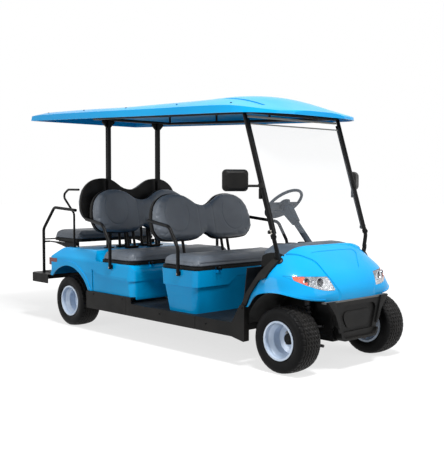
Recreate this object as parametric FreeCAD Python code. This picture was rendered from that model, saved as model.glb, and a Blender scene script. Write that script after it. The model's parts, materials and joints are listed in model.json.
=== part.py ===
import FreeCAD, Part
import math
import os

# Six-seat electric golf cart. Millimetres. X runs forward, Y to the left, Z up.
# Every place below is counted from the front axle at ground level; the last step moves the whole cart so
# that its origin lies on the ground below the middle of its box.

V = FreeCAD.Vector
UP = V(0, 0, 1)
LEFT = V(0, 1, 0)
FORWARD = V(1, 0, 0)

# Driving sizes of the whole cart
WHEELBASE = 2570.0
FRONT_OVERHANG = 250.0
REAR_OVERHANG = 661.0
TRACK = 972.0
BODY_HALF_WIDTH = 602.0
REAR_AXLE_X = -WHEELBASE
ORIGIN_SHIFT_X = (WHEELBASE + REAR_OVERHANG - FRONT_OVERHANG) / 2
SKIN = 4.0
SEAT_GAP = 0.3
CUT_OVERRUN = 20.0
CORNER_REACH_SHARE = 0.48
FULL_TURN = 360.0
SWEEP = 12.0

# Wheels
TYRE_RADIUS = 229.0
TYRE_HALF_WIDTH = 102.5
TREAD_HALF_WIDTH = 84.0
TREAD_CROWN = 7.0
TYRE_CARCASS = 12.0
BEAD_RADIUS = 127.0
BEAD_HALF_WIDTH = 89.0
FLANGE_HEIGHT = 9.0
FLANGE_WIDTH = 7.0
RIM_SHEET = 4.0
RIM_WELL_DEPTH = 22.0
RIM_WELL_HALF_WIDTH = 30.0
DISC_INSET = 42.0
DISC_DISH = 14.0
HUB_RADIUS = 36.0
HUB_INNER_LENGTH = 26.0
HUB_OUTER_LENGTH = 40.0
HUB_BORE_DEPTH = 54.0
SPINDLE_RADIUS = 15.0
BOSS_RADIUS = 22.5
RUNNING_FIT = 0.05
WHEEL_BOLT_CIRCLE_RADIUS = 50.8
WHEEL_BOLT_HOLE_RADIUS = 6.5
WHEEL_BOLTS = 4
WHEEL_CENTRE_Y = TRACK / 2

# Ladder frame; its raised rear end carries the footrest's tray
STEP_TOP_Z = 440.0
STEP_WALL = 5.0
RAIL_CENTRE_Y = 200.0
RAIL_WIDTH = 60.0
RAIL_DEPTH = 80.0
RAIL_TOP_Z = 285.0
RAIL_FRONT_X = 189.7
RAIL_KICK_Z = STEP_TOP_Z - STEP_WALL - RAIL_TOP_Z
RAIL_KICK_RUN = 120.0
AXLE_BAY_HALF = 210.0
RAIL_REAR_MARGIN = 90.0
RAIL_REAR_X = REAR_AXLE_X - REAR_OVERHANG + RAIL_REAR_MARGIN
OUTRIGGER_WIDTH = 40.0
OUTRIGGER_DEPTH = 45.0
TOWER_HALF_LENGTH = 35.0
TOWER_WIDTH = 46.0
TOWER_TOP_Z = 500.0
TOWER_HEAD_DEPTH = 14.0

# Steering and front suspension
KINGPIN_OFFSET = 136.0
KINGPIN_Y = WHEEL_CENTRE_Y - KINGPIN_OFFSET
KINGPIN_RADIUS = 10.0
KINGPIN_BARREL_RADIUS = 19.0
LOWER_ARM_Z = 165.0
UPPER_ARM_Z = 305.0
ARM_TUBE_RADIUS = 11.0
ARM_LEG_RADIUS = 9.5
ARM_YOKE_RADIUS = 8.0
ARM_SPREAD = 105.0
ARM_EYE_RADIUS = 20.0
ARM_EYE_HALF_HEIGHT = 12.0
KINGPIN_END_GAP = 0.3
STEER_ARM_LENGTH = 110.0
STEER_ARM_WIDTH = 24.0
STEER_ARM_THICKNESS = 12.0
STEER_ARM_Z = 206.0
TIE_ROD_RADIUS = 8.0
TIE_ROD_EYE_RADIUS = 15.0
TIE_ROD_EYE_HALF_HEIGHT = 9.0
TIE_PIN_RADIUS = 6.0
OPEN_EYE_CLEARANCE = 2.0
COIL_OVER_INSET = 72.0
COIL_OVER_Y = KINGPIN_Y - COIL_OVER_INSET
COIL_OVER_RADIUS = 26.0
DAMPER_RADIUS = 13.0
DAMPER_EYE = 40.0

GEAR_X = -190.0
GEAR_RADIUS = 24.0
GEAR_HALF_LENGTH = 240.0

# Rear axle and springs
AXLE_TUBE_RADIUS = 36.0
AXLE_TUBE_INSET = 98.0
AXLE_TUBE_HALF = WHEEL_CENTRE_Y - AXLE_TUBE_INSET
DIFF_RADIUS = 98.0
DRUM_RADIUS = 96.0
DRUM_DEPTH = 34.0
LEAF_OFFSET = 85.0
LEAF_Y = RAIL_CENTRE_Y + LEAF_OFFSET
LEAF_WIDTH = 50.0
LEAF_THICKNESS = 22.0
LEAF_HALF_SPAN = 370.0
LEAF_RISE = 50.0
HANGER_LENGTH = 40.0
HANGER_DEPTH = 24.0
MOTOR_RADIUS = 80.0
MOTOR_LENGTH = 225.0

# Floor, toe board and sills
FLOOR_THICKNESS = 20.0
FLOOR_TOP_Z = RAIL_TOP_Z + FLOOR_THICKNESS
FLOOR_EDGE_MARGIN = 44.0
FLOOR_HALF_WIDTH = BODY_HALF_WIDTH - FLOOR_EDGE_MARGIN
OUTRIGGER_END_GAP = 2.0
OUTRIGGER_REACH_Y = FLOOR_HALF_WIDTH - OUTRIGGER_END_GAP
TOE_FOOT_X = -425.0
TOE_BEND_X = -352.0
TOE_BEND_Z = 480.0
TOE_TOP_X = -322.0
TOE_TOP_Z = 700.0
TOE_SHEET = 6.0
BODY_LOW_Z = 356.0
SILL_PROUD = 6.0
SILL_OUTER_Y = BODY_HALF_WIDTH + SILL_PROUD
SILL_INNER_Y = FLOOR_HALF_WIDTH
SILL_BOTTOM_Z = 205.0
SILL_TIP_X = -298.0
SILL_TIP_Z = 180.0
SILL_RISER_X = -342.0
SILL_RISER_Z = 440.0
SILL_REAR_MARGIN = 312.0
SILL_REAR_X = REAR_AXLE_X + SILL_REAR_MARGIN
SILL_WALL = 4.0
SILL_CORNER = 10.0
SILL_SEAM_WIDTH = 3.0

# Front cowl
COWL_SETBACK = 32.0
COWL_FRONT_X = FRONT_OVERHANG - COWL_SETBACK
COWL_ROOT_X = -420.0
COWL_BASE_Z = 430.0
COWL_TOP_Z = 846.0
COWL_EDGE_Z = 490.0
COWL_POINTS_PER_LINE = 15
# height share, reach share, half width share, squareness of each waterline of the cowl
COWL_LINE_SHARES = [
    (0.000, 0.996, 0.985, 4.0),
    (0.170, 1.000, 0.996, 4.0),
    (0.325, 0.994, 1.000, 3.8),
    (0.433, 0.966, 0.997, 3.6),
    (0.546, 0.917, 0.984, 3.6),
    (0.650, 0.850, 0.944, 3.6),
    (0.770, 0.755, 0.882, 3.6),
    (0.890, 0.650, 0.824, 3.8),
    (0.962, 0.580, 0.790, 4.0),
    (1.000, 0.540, 0.715, 4.0),
]
COWL_CUT_TOP_X = -76.0
COWL_CUT_SHOULDER_X = -112.0
COWL_CUT_SHOULDER_Z = 745.0
COWL_CUT_WAIST_X = -160.0
COWL_CUT_WAIST_Z = 630.0
COWL_CUT_FOOT_X = SILL_RISER_X + 22.0
FRONT_ARCH_INSET = 20.0
FRONT_ARCH_INNER_Y = KINGPIN_Y - FRONT_ARCH_INSET
FRONT_ARCH_TOP_Z = 552.0
FRONT_ARCH_TOP_X = -42.0
FRONT_ARCH_REAR_X = -300.0
FRONT_ARCH_OVERREACH = 14.0
FRONT_ARCH_FRONT_X = COWL_FRONT_X + FRONT_ARCH_OVERREACH
# how far forward of the top (negative: rearward) and how high each point of the opening's edge lies
FRONT_ARCH_SHARES = [(-1.00, 0.00), (-0.84, 0.36), (-0.55, 0.80), (-0.25, 0.96), (0.00, 1.00), (0.40, 0.90),
                     (1.00, 0.56)]
ARCH_LIP_WIDTH = 12.0
ARCH_LIP_PROUD = 5.0
LAMP_SETBACK = 151.0
LAMP_TIP_X = COWL_FRONT_X - LAMP_SETBACK
LAMP_TIP_Z = 667.0
LAMP_TOP_INSET = 340.0
LAMP_TOP_Y = BODY_HALF_WIDTH - LAMP_TOP_INSET
LAMP_TOP_Z = 655.0
LAMP_LOW_INSET = 370.0
LAMP_LOW_Y = BODY_HALF_WIDTH - LAMP_LOW_INSET
LAMP_LOW_Z = 566.0
LAMP_TIP_INSET = 71.0
LAMP_TIP_Y = BODY_HALF_WIDTH - LAMP_TIP_INSET
LAMP_SAG = 34.0
LAMP_GAP = 1.5
LAMP_DEPTH = 40.0
PAD_PROUD = 16.0
TRIM_WIDTH = 26.0

# Raised middle panel of the bonnet, its edge line as places and half widths from the rear edge to the nose
HOOD_RISE = 6.0
HOOD_FIELD_DEPTH = 3.0
# share of the run from the cowl's root to its nose, and share of the body's half width
HOOD_EDGE_SHARES = [
    (0.540, 0.700), (0.583, 0.633), (0.628, 0.565), (0.672, 0.513), (0.743, 0.440), (0.875, 0.430),
    (0.973, 0.377),
    (1.012, 0.297),
]
HOOD_FIELD_SHARES = [(0.640, 0.460), (0.880, 0.200)]
HOOD_FIELD_CORNER = 22.0

# Front valance
VALANCE_TOP_Z = COWL_EDGE_Z - SEAT_GAP
VALANCE_BOTTOM_Z = 206.0
VALANCE_TOP_HALF = 262.0
VALANCE_BOTTOM_HALF = 200.0
VALANCE_LIP_X = FRONT_OVERHANG
VALANCE_DEPTH = 60.0
VALANCE_FRAME = 42.0
VALANCE_INSET = 14.0
VALANCE_LIP_PROUD = 22.0
VALANCE_LIP_WIDTH = 16.0
VALANCE_LIP_HEIGHT = 58.0
VALANCE_STRIP_X = 222.0
VALANCE_STRIP_HALF = 356.0
VALANCE_STRIP_HEIGHT = 12.0

# Dashboard
DASH_EDGE_MARGIN = 162.0
DASH_HALF_WIDTH = BODY_HALF_WIDTH - DASH_EDGE_MARGIN
DASH_REAR_X = -405.0
DASH_TOP_REAR_Z = 800.0
DASH_NOSE_Z = 752.0
DASH_CHIN_X = -348.0
DASH_CHIN_Z = 610.0
DASH_CROWN_X = -310.0
DASH_CROWN = 12.0
DASH_CHIN_DEPTH = 24.0

# Front bench pod and cushions
POD_TOP_FRONT_X = -818.0
POD_TOP_REAR_X = -1240.0
POD_TAPER_X = 46.0
POD_TAPER_Y = 40.0
POD_STEP_Z = 511.0
POD_STEP_IN = 6.0
POD_STEP_WIDTH = 10.0
BATTERY_WIDTH_SHARE = 0.75
POD_TOP_Z = 636.0
POD_CORNER = 46.0
POD_FIELD_FOOT_HALF = 249.0
POD_FIELD_HEAD_HALF = 162.0
POD_FIELD_TOP_Z = 577.0
CUSHION_DEPTH = 430.0
CUSHION_EDGE_MARGIN = 30.0
CUSHION_HALF_WIDTH = BODY_HALF_WIDTH - CUSHION_EDGE_MARGIN
CUSHION_HEIGHT = 84.0
CUSHION_CORNER = 60.0
CUSHION_CROWN_FILLET = 24.0
BOARD_HEIGHT = 24.0
BOARD_MARGIN = 6.0
CUSHION_FRONT_X = -832.0
MIDDLE_SEAT_DROP = 18.0
LID_PIN_RADIUS = 5.0
LID_BARREL_RADIUS = 10.0
LID_BARREL_WIDTH = 30.0
LID_LUG_WIDTH = 6.0
LID_HINGE_Y = 371.0
LID_HINGE_REACH = 20.0
LID_LINK_THICKNESS = 8.0

# Rear body
BASE2_MARGIN = 958.0
BASE2_FRONT_X = REAR_AXLE_X + BASE2_MARGIN
MIDDLE_SEAT_SETBACK = 43.0
MIDDLE_FRONT_X = BASE2_FRONT_X - MIDDLE_SEAT_SETBACK
BASE2_TOP_Z = POD_TOP_Z - MIDDLE_SEAT_DROP
DECK_Z = 706.0
BODY_TAIL_MARGIN = 322.0
BODY_TAIL_X = REAR_AXLE_X - BODY_TAIL_MARGIN
BODY_TAIL_LOW_Z = 442.0
BODY_CORNER = 70.0
SCOOP_MARGIN = 428.0
SCOOP_X = REAR_AXLE_X + SCOOP_MARGIN
SCOOP_RUN = 55.0
TAIL_DROP_X = 170.0
REAR_ARCH_X = REAR_AXLE_X + 10.0
REAR_ARCH_Z = 246.0
REAR_ARCH_HALF_LENGTH = 335.0
REAR_ARCH_HEIGHT = 305.0
REAR_ARCH_ROOM = 43.5
REAR_ARCH_INNER_Y = WHEEL_CENTRE_Y - TYRE_HALF_WIDTH - REAR_ARCH_ROOM
FLARE_WIDTH = 40.0
FLARE_PROUD = 6.0
# where the points of the wheel opening's edge lie on its half turn
REAR_ARCH_SHARES = [0, 1 / 12, 1 / 6, 1 / 4, 1 / 3, 5 / 12, 1 / 2, 7 / 12, 2 / 3, 3 / 4, 5 / 6, 11 / 12, 1]
CREASE_Z = 486.0
CREASE_RISE = 62.0
CREASE_RUN = 250.0
CREASE_INSET = 8.0
TAIL_LAMP_INSET = 102.0
TAIL_LAMP_Y = BODY_HALF_WIDTH - TAIL_LAMP_INSET
TAIL_LAMP_HALF_WIDTH = 44.0
TAIL_LAMP_LOW_Z = 538.0
TAIL_LAMP_HIGH_Z = 604.0
TAIL_LAMP_DEPTH = 14.0
LINER_RADIUS = 338.0
LINER_SHEET = 3.0
LINER_INSET = 88.0
LINER_INNER_Y = KINGPIN_Y - LINER_INSET
LINER_OUTER_Y = SILL_INNER_Y - SEAT_GAP

# Rear footrest, and the tubes that stand on it
RAIL_TUBE_RADIUS = 14.0
REAR_RAIL_INSET = 87.0
REAR_RAIL_Y = BODY_HALF_WIDTH - REAR_RAIL_INSET
STEP_THICKNESS = 84.0
STEP_FRONT_MARGIN = 345.0
STEP_FRONT_X = REAR_AXLE_X - STEP_FRONT_MARGIN
STEP_REAR_X = REAR_AXLE_X - REAR_OVERHANG
STEP_EDGE_MARGIN = 4.0
STEP_HALF_WIDTH = BODY_HALF_WIDTH - STEP_EDGE_MARGIN
STEP_BEVEL = 40.0
TREAD_MARGIN = 26.0
TREAD_HALF = REAR_RAIL_Y - RAIL_TUBE_RADIUS * 2
TREAD_RISE = 8.0
TREAD_CORNER = 24.0

# Backrests
BACK_EDGE_MARGIN = 58.0
BACK_HALF_WIDTH = BODY_HALF_WIDTH - BACK_EDGE_MARGIN
BACK_HEIGHT = 388.0
BACK_PAD_DEPTH = 62.0
BACK_SHELL_DEPTH = 26.0
BACK_SHELL_MARGIN = 6.0
FRONT_BACK_SETBACK = 542.0
FRONT_BACK_LOW_X = CUSHION_FRONT_X - FRONT_BACK_SETBACK
FRONT_BACK_RISE = 190.0
FRONT_BACK_LOW_Z = POD_TOP_Z + FRONT_BACK_RISE
FRONT_BACK_LEAN = 13.4
MIDDLE_BACK_SETBACK = 567.0
MIDDLE_BACK_LOW_X = MIDDLE_FRONT_X - MIDDLE_BACK_SETBACK
MIDDLE_BACK_RISE = 150.0
MIDDLE_BACK_LOW_Z = DECK_Z + MIDDLE_BACK_RISE
MIDDLE_BACK_LEAN = 11.0
REAR_BACK_MARGIN = 142.0
REAR_BACK_LOW_X = REAR_AXLE_X + REAR_BACK_MARGIN
REAR_BACK_RISE = 240.0
REAR_BACK_LOW_Z = DECK_Z + REAR_BACK_RISE
REAR_BACK_LEAN = 5.0
# half width share and height share of the twin-lobed outline, from the bottom notch to the top dip
BACK_OUTLINE_SHARES = [
    (0.00, 0.145), (0.07, 0.105), (0.14, 0.045), (0.24, 0.012), (0.45, 0.000), (0.74, 0.010), (0.90, 0.060),
    (0.985, 0.200), (1.00, 0.460), (0.93, 0.760), (0.76, 0.950), (0.54, 1.000), (0.34, 0.945),
    (0.17, 0.800),
    (0.00, 0.745),
]
POST_RADIUS = 12.5
POST_Y = 255.0
POST_SPLIT = 70.0
POST_FOOT_THICKNESS = 10.0
FRONT_POST_DROP = 40.0

# Arm rails and rear rails
ARM_RAIL_STANDOFF = 14.6
ARM_RAIL_Y = BODY_HALF_WIDTH + ARM_RAIL_STANDOFF
ARM_RAIL_BEND = 70.0
ARM_LUG_RISE = 20.0
ARM_RAIL_SETBACK = 171.0
ARM_RAIL_FOOT_X = CUSHION_FRONT_X - ARM_RAIL_SETBACK
ARM_RAIL_FOOT_DROP = 46.0
ARM_RAIL_FOOT_Z = POD_TOP_Z - ARM_RAIL_FOOT_DROP
ARM_RAIL_KNEE_RISE = 210.0
ARM_RAIL_KNEE_Z = ARM_RAIL_FOOT_Z + ARM_RAIL_KNEE_RISE
ARM_RAIL_ELBOW_RUN = 105.0
ARM_RAIL_ELBOW_X = ARM_RAIL_FOOT_X - ARM_RAIL_ELBOW_RUN
ARM_RAIL_ELBOW_RISE = 372.0
ARM_RAIL_ELBOW_Z = ARM_RAIL_FOOT_Z + ARM_RAIL_ELBOW_RISE
ARM_RAIL_END_RUN = 417.0
ARM_RAIL_END_X = ARM_RAIL_FOOT_X - ARM_RAIL_END_RUN
ARM_RAIL_END_RISE = 406.0
ARM_RAIL_END_Z = ARM_RAIL_FOOT_Z + ARM_RAIL_END_RISE
MIDDLE_ARM_RAIL_SETBACK = 233.0
MIDDLE_ARM_RAIL_FOOT_X = MIDDLE_FRONT_X - MIDDLE_ARM_RAIL_SETBACK
ARM_RAIL_DROP = MIDDLE_SEAT_DROP
ARM_RAIL_END_INSET = 30.0
ARM_RAIL_END_Y = BODY_HALF_WIDTH - ARM_RAIL_END_INSET
REAR_RAIL_MARGIN = 113.0
REAR_RAIL_FOOT_X = STEP_REAR_X + REAR_RAIL_MARGIN
REAR_RAIL_KNEE_RISE = 418.0
REAR_RAIL_KNEE_Z = STEP_TOP_Z + REAR_RAIL_KNEE_RISE
REAR_RAIL_ELBOW_RUN = 196.0
REAR_RAIL_ELBOW_X = REAR_RAIL_FOOT_X + REAR_RAIL_ELBOW_RUN
REAR_RAIL_ELBOW_RISE = 628.0
REAR_RAIL_ELBOW_Z = STEP_TOP_Z + REAR_RAIL_ELBOW_RISE
REAR_RAIL_END_MARGIN = 10.0
REAR_RAIL_END_X = REAR_AXLE_X + REAR_RAIL_END_MARGIN
REAR_RAIL_END_RISE = 609.0
REAR_RAIL_END_Z = STEP_TOP_Z + REAR_RAIL_END_RISE
REAR_RAIL_BEND = 60.0
LOOP_INSET = 35.0
LOOP_Y = REAR_RAIL_Y - LOOP_INSET
LOOP_RADIUS = 10.0
LOOP_FOOT_MARGIN = 70.0
LOOP_FOOT_X = REAR_AXLE_X - LOOP_FOOT_MARGIN
LOOP_KNEE_RISE = 311.0
LOOP_KNEE_Z = DECK_Z + LOOP_KNEE_RISE
LOOP_NOSE_RUN = 190.0
LOOP_NOSE_X = LOOP_FOOT_X - LOOP_NOSE_RUN
LOOP_NOSE_RISE = 474.0
LOOP_NOSE_Z = DECK_Z + LOOP_NOSE_RISE
LOOP_TOP_RISE = 530.0
LOOP_TOP_Z = DECK_Z + LOOP_TOP_RISE
LOOP_BEND = 45.0

# Rear-facing bench
REAR_CUSHION_MARGIN = 480.0
REAR_CUSHION_REAR_X = REAR_AXLE_X - REAR_CUSHION_MARGIN
REAR_CUSHION_INSET = 65.0
REAR_CUSHION_HALF_WIDTH = REAR_RAIL_Y - REAR_CUSHION_INSET
REAR_BOARD_RISE = 46.0
REAR_BOARD_LOW_Z = DECK_Z + REAR_BOARD_RISE
BED_HINGE_SETBACK = 34.0
BED_HINGE_X = REAR_CUSHION_REAR_X - BED_HINGE_SETBACK
BED_HINGE_RISE = 10.0
BED_HINGE_Z = REAR_BOARD_LOW_Z + BED_HINGE_RISE
BED_PIN_RADIUS = 6.0
BED_EAR_THICKNESS = 8.0
BED_EAR_RADIUS = 16.0
BED_EAR_INSET = 60.0
WEB_MARGIN = 30.0
WEB_THICKNESS = 8.0
WEB_TIP_HEIGHT = 12.0
WEB_SAG = 6.0

# Roof, its frame and posts
ROOF_FRONT_X = -128.0
ROOF_REAR_MARGIN = 580.0
ROOF_REAR_X = REAR_AXLE_X - ROOF_REAR_MARGIN
ROOF_OVERHANG = 26.0
ROOF_HALF_WIDTH = BODY_HALF_WIDTH + ROOF_OVERHANG
ROOF_DRIP_FRONT_Z = 1780.0
ROOF_DRIP_REAR_Z = 1884.0
ROOF_SHEET = 5.0
ROOF_CROWN = 169.0
ROOF_BAND_LEAN = 10.0
ROOF_SHOULDER_RISE_SHARE = 0.48
# length share from front to rear, half width share, then as shares of the crown: the edge band's height and
# the top's height above the drip edge; last the half width share at which the shoulder ends
ROOF_STATION_SHARES = [
    (0.000, 0.450, 0.10, 0.20, 0.80),
    (0.012, 0.660, 0.12, 0.26, 0.76),
    (0.026, 0.800, 0.15, 0.34, 0.72),
    (0.045, 0.900, 0.20, 0.46, 0.68),
    (0.067, 0.960, 0.25, 0.60, 0.66),
    (0.095, 0.990, 0.30, 0.76, 0.68),
    (0.135, 1.000, 0.33, 0.91, 0.72),
    (0.185, 1.000, 0.34, 0.96, 0.76),
    (0.250, 1.000, 0.34, 0.86, 0.80),
    (0.340, 1.000, 0.33, 0.71, 0.86),
    (0.450, 1.000, 0.33, 0.59, 0.90),
    (0.580, 1.000, 0.33, 0.53, 0.91),
    (0.700, 0.999, 0.33, 0.51, 0.92),
    (0.820, 0.996, 0.32, 0.50, 0.92),
    (0.920, 0.992, 0.31, 0.48, 0.92),
    (0.980, 0.988, 0.29, 0.43, 0.92),
    (1.000, 0.985, 0.26, 0.37, 0.92),
]
DRAIN_DEPTH = 11.0
DRAIN_HALF_WIDTH = 16.0
DRAIN_Y_SHARE = 0.655
DRAIN_REAR_X = -700.0
DRAIN_FRONT_X = -300.0
PILLAR_FOOT_INSET = 110.0
PILLAR_Y_FOOT = BODY_HALF_WIDTH - PILLAR_FOOT_INSET
PILLAR_FOOT_X = -91.0
PILLAR_FOOT_DROP = 34.0
PILLAR_FOOT_Z = COWL_TOP_Z - PILLAR_FOOT_DROP
PILLAR_BEND_X = -96.0
PILLAR_BEND_RISE = 54.0
PILLAR_BEND_Z = COWL_TOP_Z + PILLAR_BEND_RISE
PILLAR_BEND_INSET = 84.0
PILLAR_Y_BEND = BODY_HALF_WIDTH - PILLAR_BEND_INSET
PILLAR_TOP_X = -388.0
PILLAR_TOP_RISE = 10.0
PILLAR_TOP_Z = ROOF_DRIP_FRONT_Z + PILLAR_TOP_RISE
PILLAR_TOP_INSET = 78.0
PILLAR_Y_TOP = BODY_HALF_WIDTH - PILLAR_TOP_INSET
PILLAR_RADIUS = 15.0
PILLAR_END_Z = PILLAR_TOP_Z + PILLAR_RADIUS / 2
PILLAR_BEND_RADIUS = 90.0
CLAMP_HEIGHT = 24.0
CLAMP_WALL = 5.0
CLAMP_REACH = 14.0
SCREEN_LOW_Z = 945.0
SCREEN_HIGH_Z = 1715.0
SCREEN_THICKNESS = 5.0
STRUT_Y = 285.0
STRUT_MARGIN = 200.0
STRUT_X = REAR_AXLE_X + STRUT_MARGIN
STRUT_HALF_LENGTH = 20.0
STRUT_HALF_WIDTH = 16.0
STRUT_FOOT_HALF = 34.0
STRUT_PLATE = 8.0
STRUT_HEAD_HALF = 66.0
ROOF_RAIL_INSET = 84.0
ROOF_RAIL_Y = PILLAR_Y_TOP - ROOF_RAIL_INSET
ROOF_RAIL_RADIUS = 13.0
ROOF_PADS = 4
ROOF_PAD_RADIUS = 10.0

# Mirrors
MIRROR_Z = 1276.0
MIRROR_WIDTH = 190.0
MIRROR_HEIGHT = 152.0
MIRROR_DEPTH = 34.0
MIRROR_REACH = 148.0
MIRROR_CENTRE_Y = PILLAR_Y_TOP + MIRROR_REACH
MIRROR_CENTRE_X = -318.0
MIRROR_TURN = 28.0
MIRROR_ARM_RADIUS = 9.0
MIRROR_CORNER = 30.0
MIRROR_BEVEL = 24.0
MIRROR_WAIST = MIRROR_BEVEL / 4
MIRROR_HEAD_LIFT = MIRROR_HEIGHT / 4
MIRROR_COLLAR = 34.0
MIRROR_COLLAR_WALL = 6.0

# Steering wheel and column
COLUMN_Y = 270.0
COLUMN_FOOT_X = -428.0
COLUMN_FOOT_Z = DASH_TOP_REAR_Z
WHEEL_HUB_X = -726.0
WHEEL_HUB_Z = 1130.0
STEERING_RADIUS = 165.0
STEERING_RIM = 12.0
STEERING_HUB_RADIUS = 46.0
STEERING_HUB_DEPTH = 40.0
COLUMN_RADIUS = 24.0
SHAFT_RADIUS = 9.0
COLUMN_SHROUD_WIDTH = 84.0
COLUMN_SHROUD_HEIGHT = 92.0
COLUMN_SHROUD_LENGTH = 150.0
SHAFT_LENGTH = 210.0
SHROUD_GAP = 8.0
SHROUD_TAPER = 14.0
SHROUD_CORNER = 18.0
LEVER_DROP = 22.0
LEVER_REACH = 150.0
LEVER_RADIUS = 5.0
SPOKE_WIDTH = 44.0
SPOKE_FOOT_HALF = 62.0
SPOKE_CORNER = 26.0
PEDAL_WIDTH = 110.0
PEDAL_HEIGHT = 90.0
PEDAL_THICKNESS = 12.0
PEDAL_GAP = 70.0
PEDAL_X = -440.0
PEDAL_Z = 400.0
PEDAL_ARM_RADIUS = 8.0


def box(x0, x1, y0, y1, z0, z1):
    return Part.makeBox(x1 - x0, y1 - y0, z1 - z0, V(x0, y0, z0))


def rod(start, end, radius):
    along = end.sub(start)
    return Part.makeCylinder(radius, along.Length, start, along)


def mirrored(shape):
    return shape.mirror(V(0, 0, 0), LEFT)


def both_sides(shape):
    return Part.makeCompound([shape, mirrored(shape)])


def fused(shapes):
    whole = shapes[0].fuse(shapes[1:])
    return whole.removeSplitter()


def corner_arc(before, corner, after, radius):
    """The arc that rounds a corner, as its start, middle and end."""
    arriving = corner.sub(before)
    leaving = after.sub(corner)
    longest = min(arriving.Length, leaving.Length) * CORNER_REACH_SHARE
    arriving.normalize()
    leaving.normalize()
    half_turn = arriving.getAngle(leaving) / 2
    reach = min(radius * math.tan(half_turn), longest)
    bend = reach / math.tan(half_turn)
    inward = leaving.sub(arriving)
    inward.normalize()
    centre = corner.add(inward * (bend / math.cos(half_turn)))
    return corner.sub(arriving * reach), centre.sub(inward * bend), corner.add(leaving * reach)


def rounded_path(points, radius, closed):
    """Straight runs joined by tangent arcs of one radius."""
    count = len(points)
    arcs = []
    for i in range(count):
        if closed or 0 < i < count - 1:
            arcs.append(corner_arc(points[i - 1], points[i], points[(i + 1) % count], radius))
        else:
            arcs.append((points[i], None, points[i]))
    edges = []
    for i, (start, middle, end) in enumerate(arcs):
        if middle is not None:
            edges.append(Part.Arc(start, middle, end).toShape())
        if closed or i < count - 1:
            following = arcs[(i + 1) % count][0]
            edges.append(Part.LineSegment(end, following).toShape())
    return Part.Wire(edges)


def tube(points, radius, bend):
    path = rounded_path(points, bend, False)
    along = points[1].sub(points[0])
    ring = Part.Wire(Part.makeCircle(radius, points[0], along))
    return path.makePipeShell([ring], True, False)


def ring_of(points, radius):
    if radius > 0:
        return rounded_path(points, radius, True)
    return Part.makePolygon(points + [points[0]])


def side_prism(outline, y0, y1, radius=0):
    """An outline of (x, z) pairs, pushed along Y."""
    face = Part.Face(ring_of([V(x, y0, z) for x, z in outline], radius))
    return face.extrude(LEFT * (y1 - y0))


def plan_prism(outline, z0, z1, radius=0):
    """An outline of (x, y) pairs, pushed along Z."""
    face = Part.Face(ring_of([V(x, y, z0) for x, y in outline], radius))
    return face.extrude(UP * (z1 - z0))


def front_prism(outline, x0, x1, radius=0):
    """An outline of (y, z) pairs, pushed along X."""
    face = Part.Face(ring_of([V(x0, y, z) for y, z in outline], radius))
    return face.extrude(FORWARD * (x1 - x0))


def smooth(points, closed=False):
    curve = Part.BSplineCurve()
    curve.interpolate(Points=points, PeriodicFlag=closed)
    return curve.toShape()


def spun(outline, centre):
    """An outline of (radius, y) pairs, turned about the wheel axis through a centre."""
    points = [V(centre.x + r, centre.y + y, centre.z) for r, y in outline]
    face = Part.Face(Part.makePolygon(points + [points[0]]))
    return face.revolve(centre, LEFT, FULL_TURN)


def tyre(centre):
    shoulder = TYRE_RADIUS - TREAD_CROWN
    belly = (TYRE_RADIUS + BEAD_RADIUS) / 2
    half = TYRE_HALF_WIDTH
    inside = half - TYRE_CARCASS
    right = [
        (BEAD_RADIUS, BEAD_HALF_WIDTH),
        (BEAD_RADIUS + FLANGE_HEIGHT, BEAD_HALF_WIDTH),
        (belly, half),
        (shoulder - TYRE_CARCASS, half - TREAD_CROWN / 2),
        (shoulder, TREAD_HALF_WIDTH),
        (TYRE_RADIUS, TREAD_HALF_WIDTH / 2),
    ]
    hollow = [
        (shoulder - TYRE_CARCASS, TREAD_HALF_WIDTH - TYRE_CARCASS),
        (belly, inside),
        (BEAD_RADIUS, BEAD_HALF_WIDTH - TYRE_CARCASS),
    ]
    left = [(r, -y) for r, y in reversed(right)]
    left_hollow = [(r, -y) for r, y in reversed(hollow)]
    return spun(right + left + left_hollow + hollow, centre)


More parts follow.
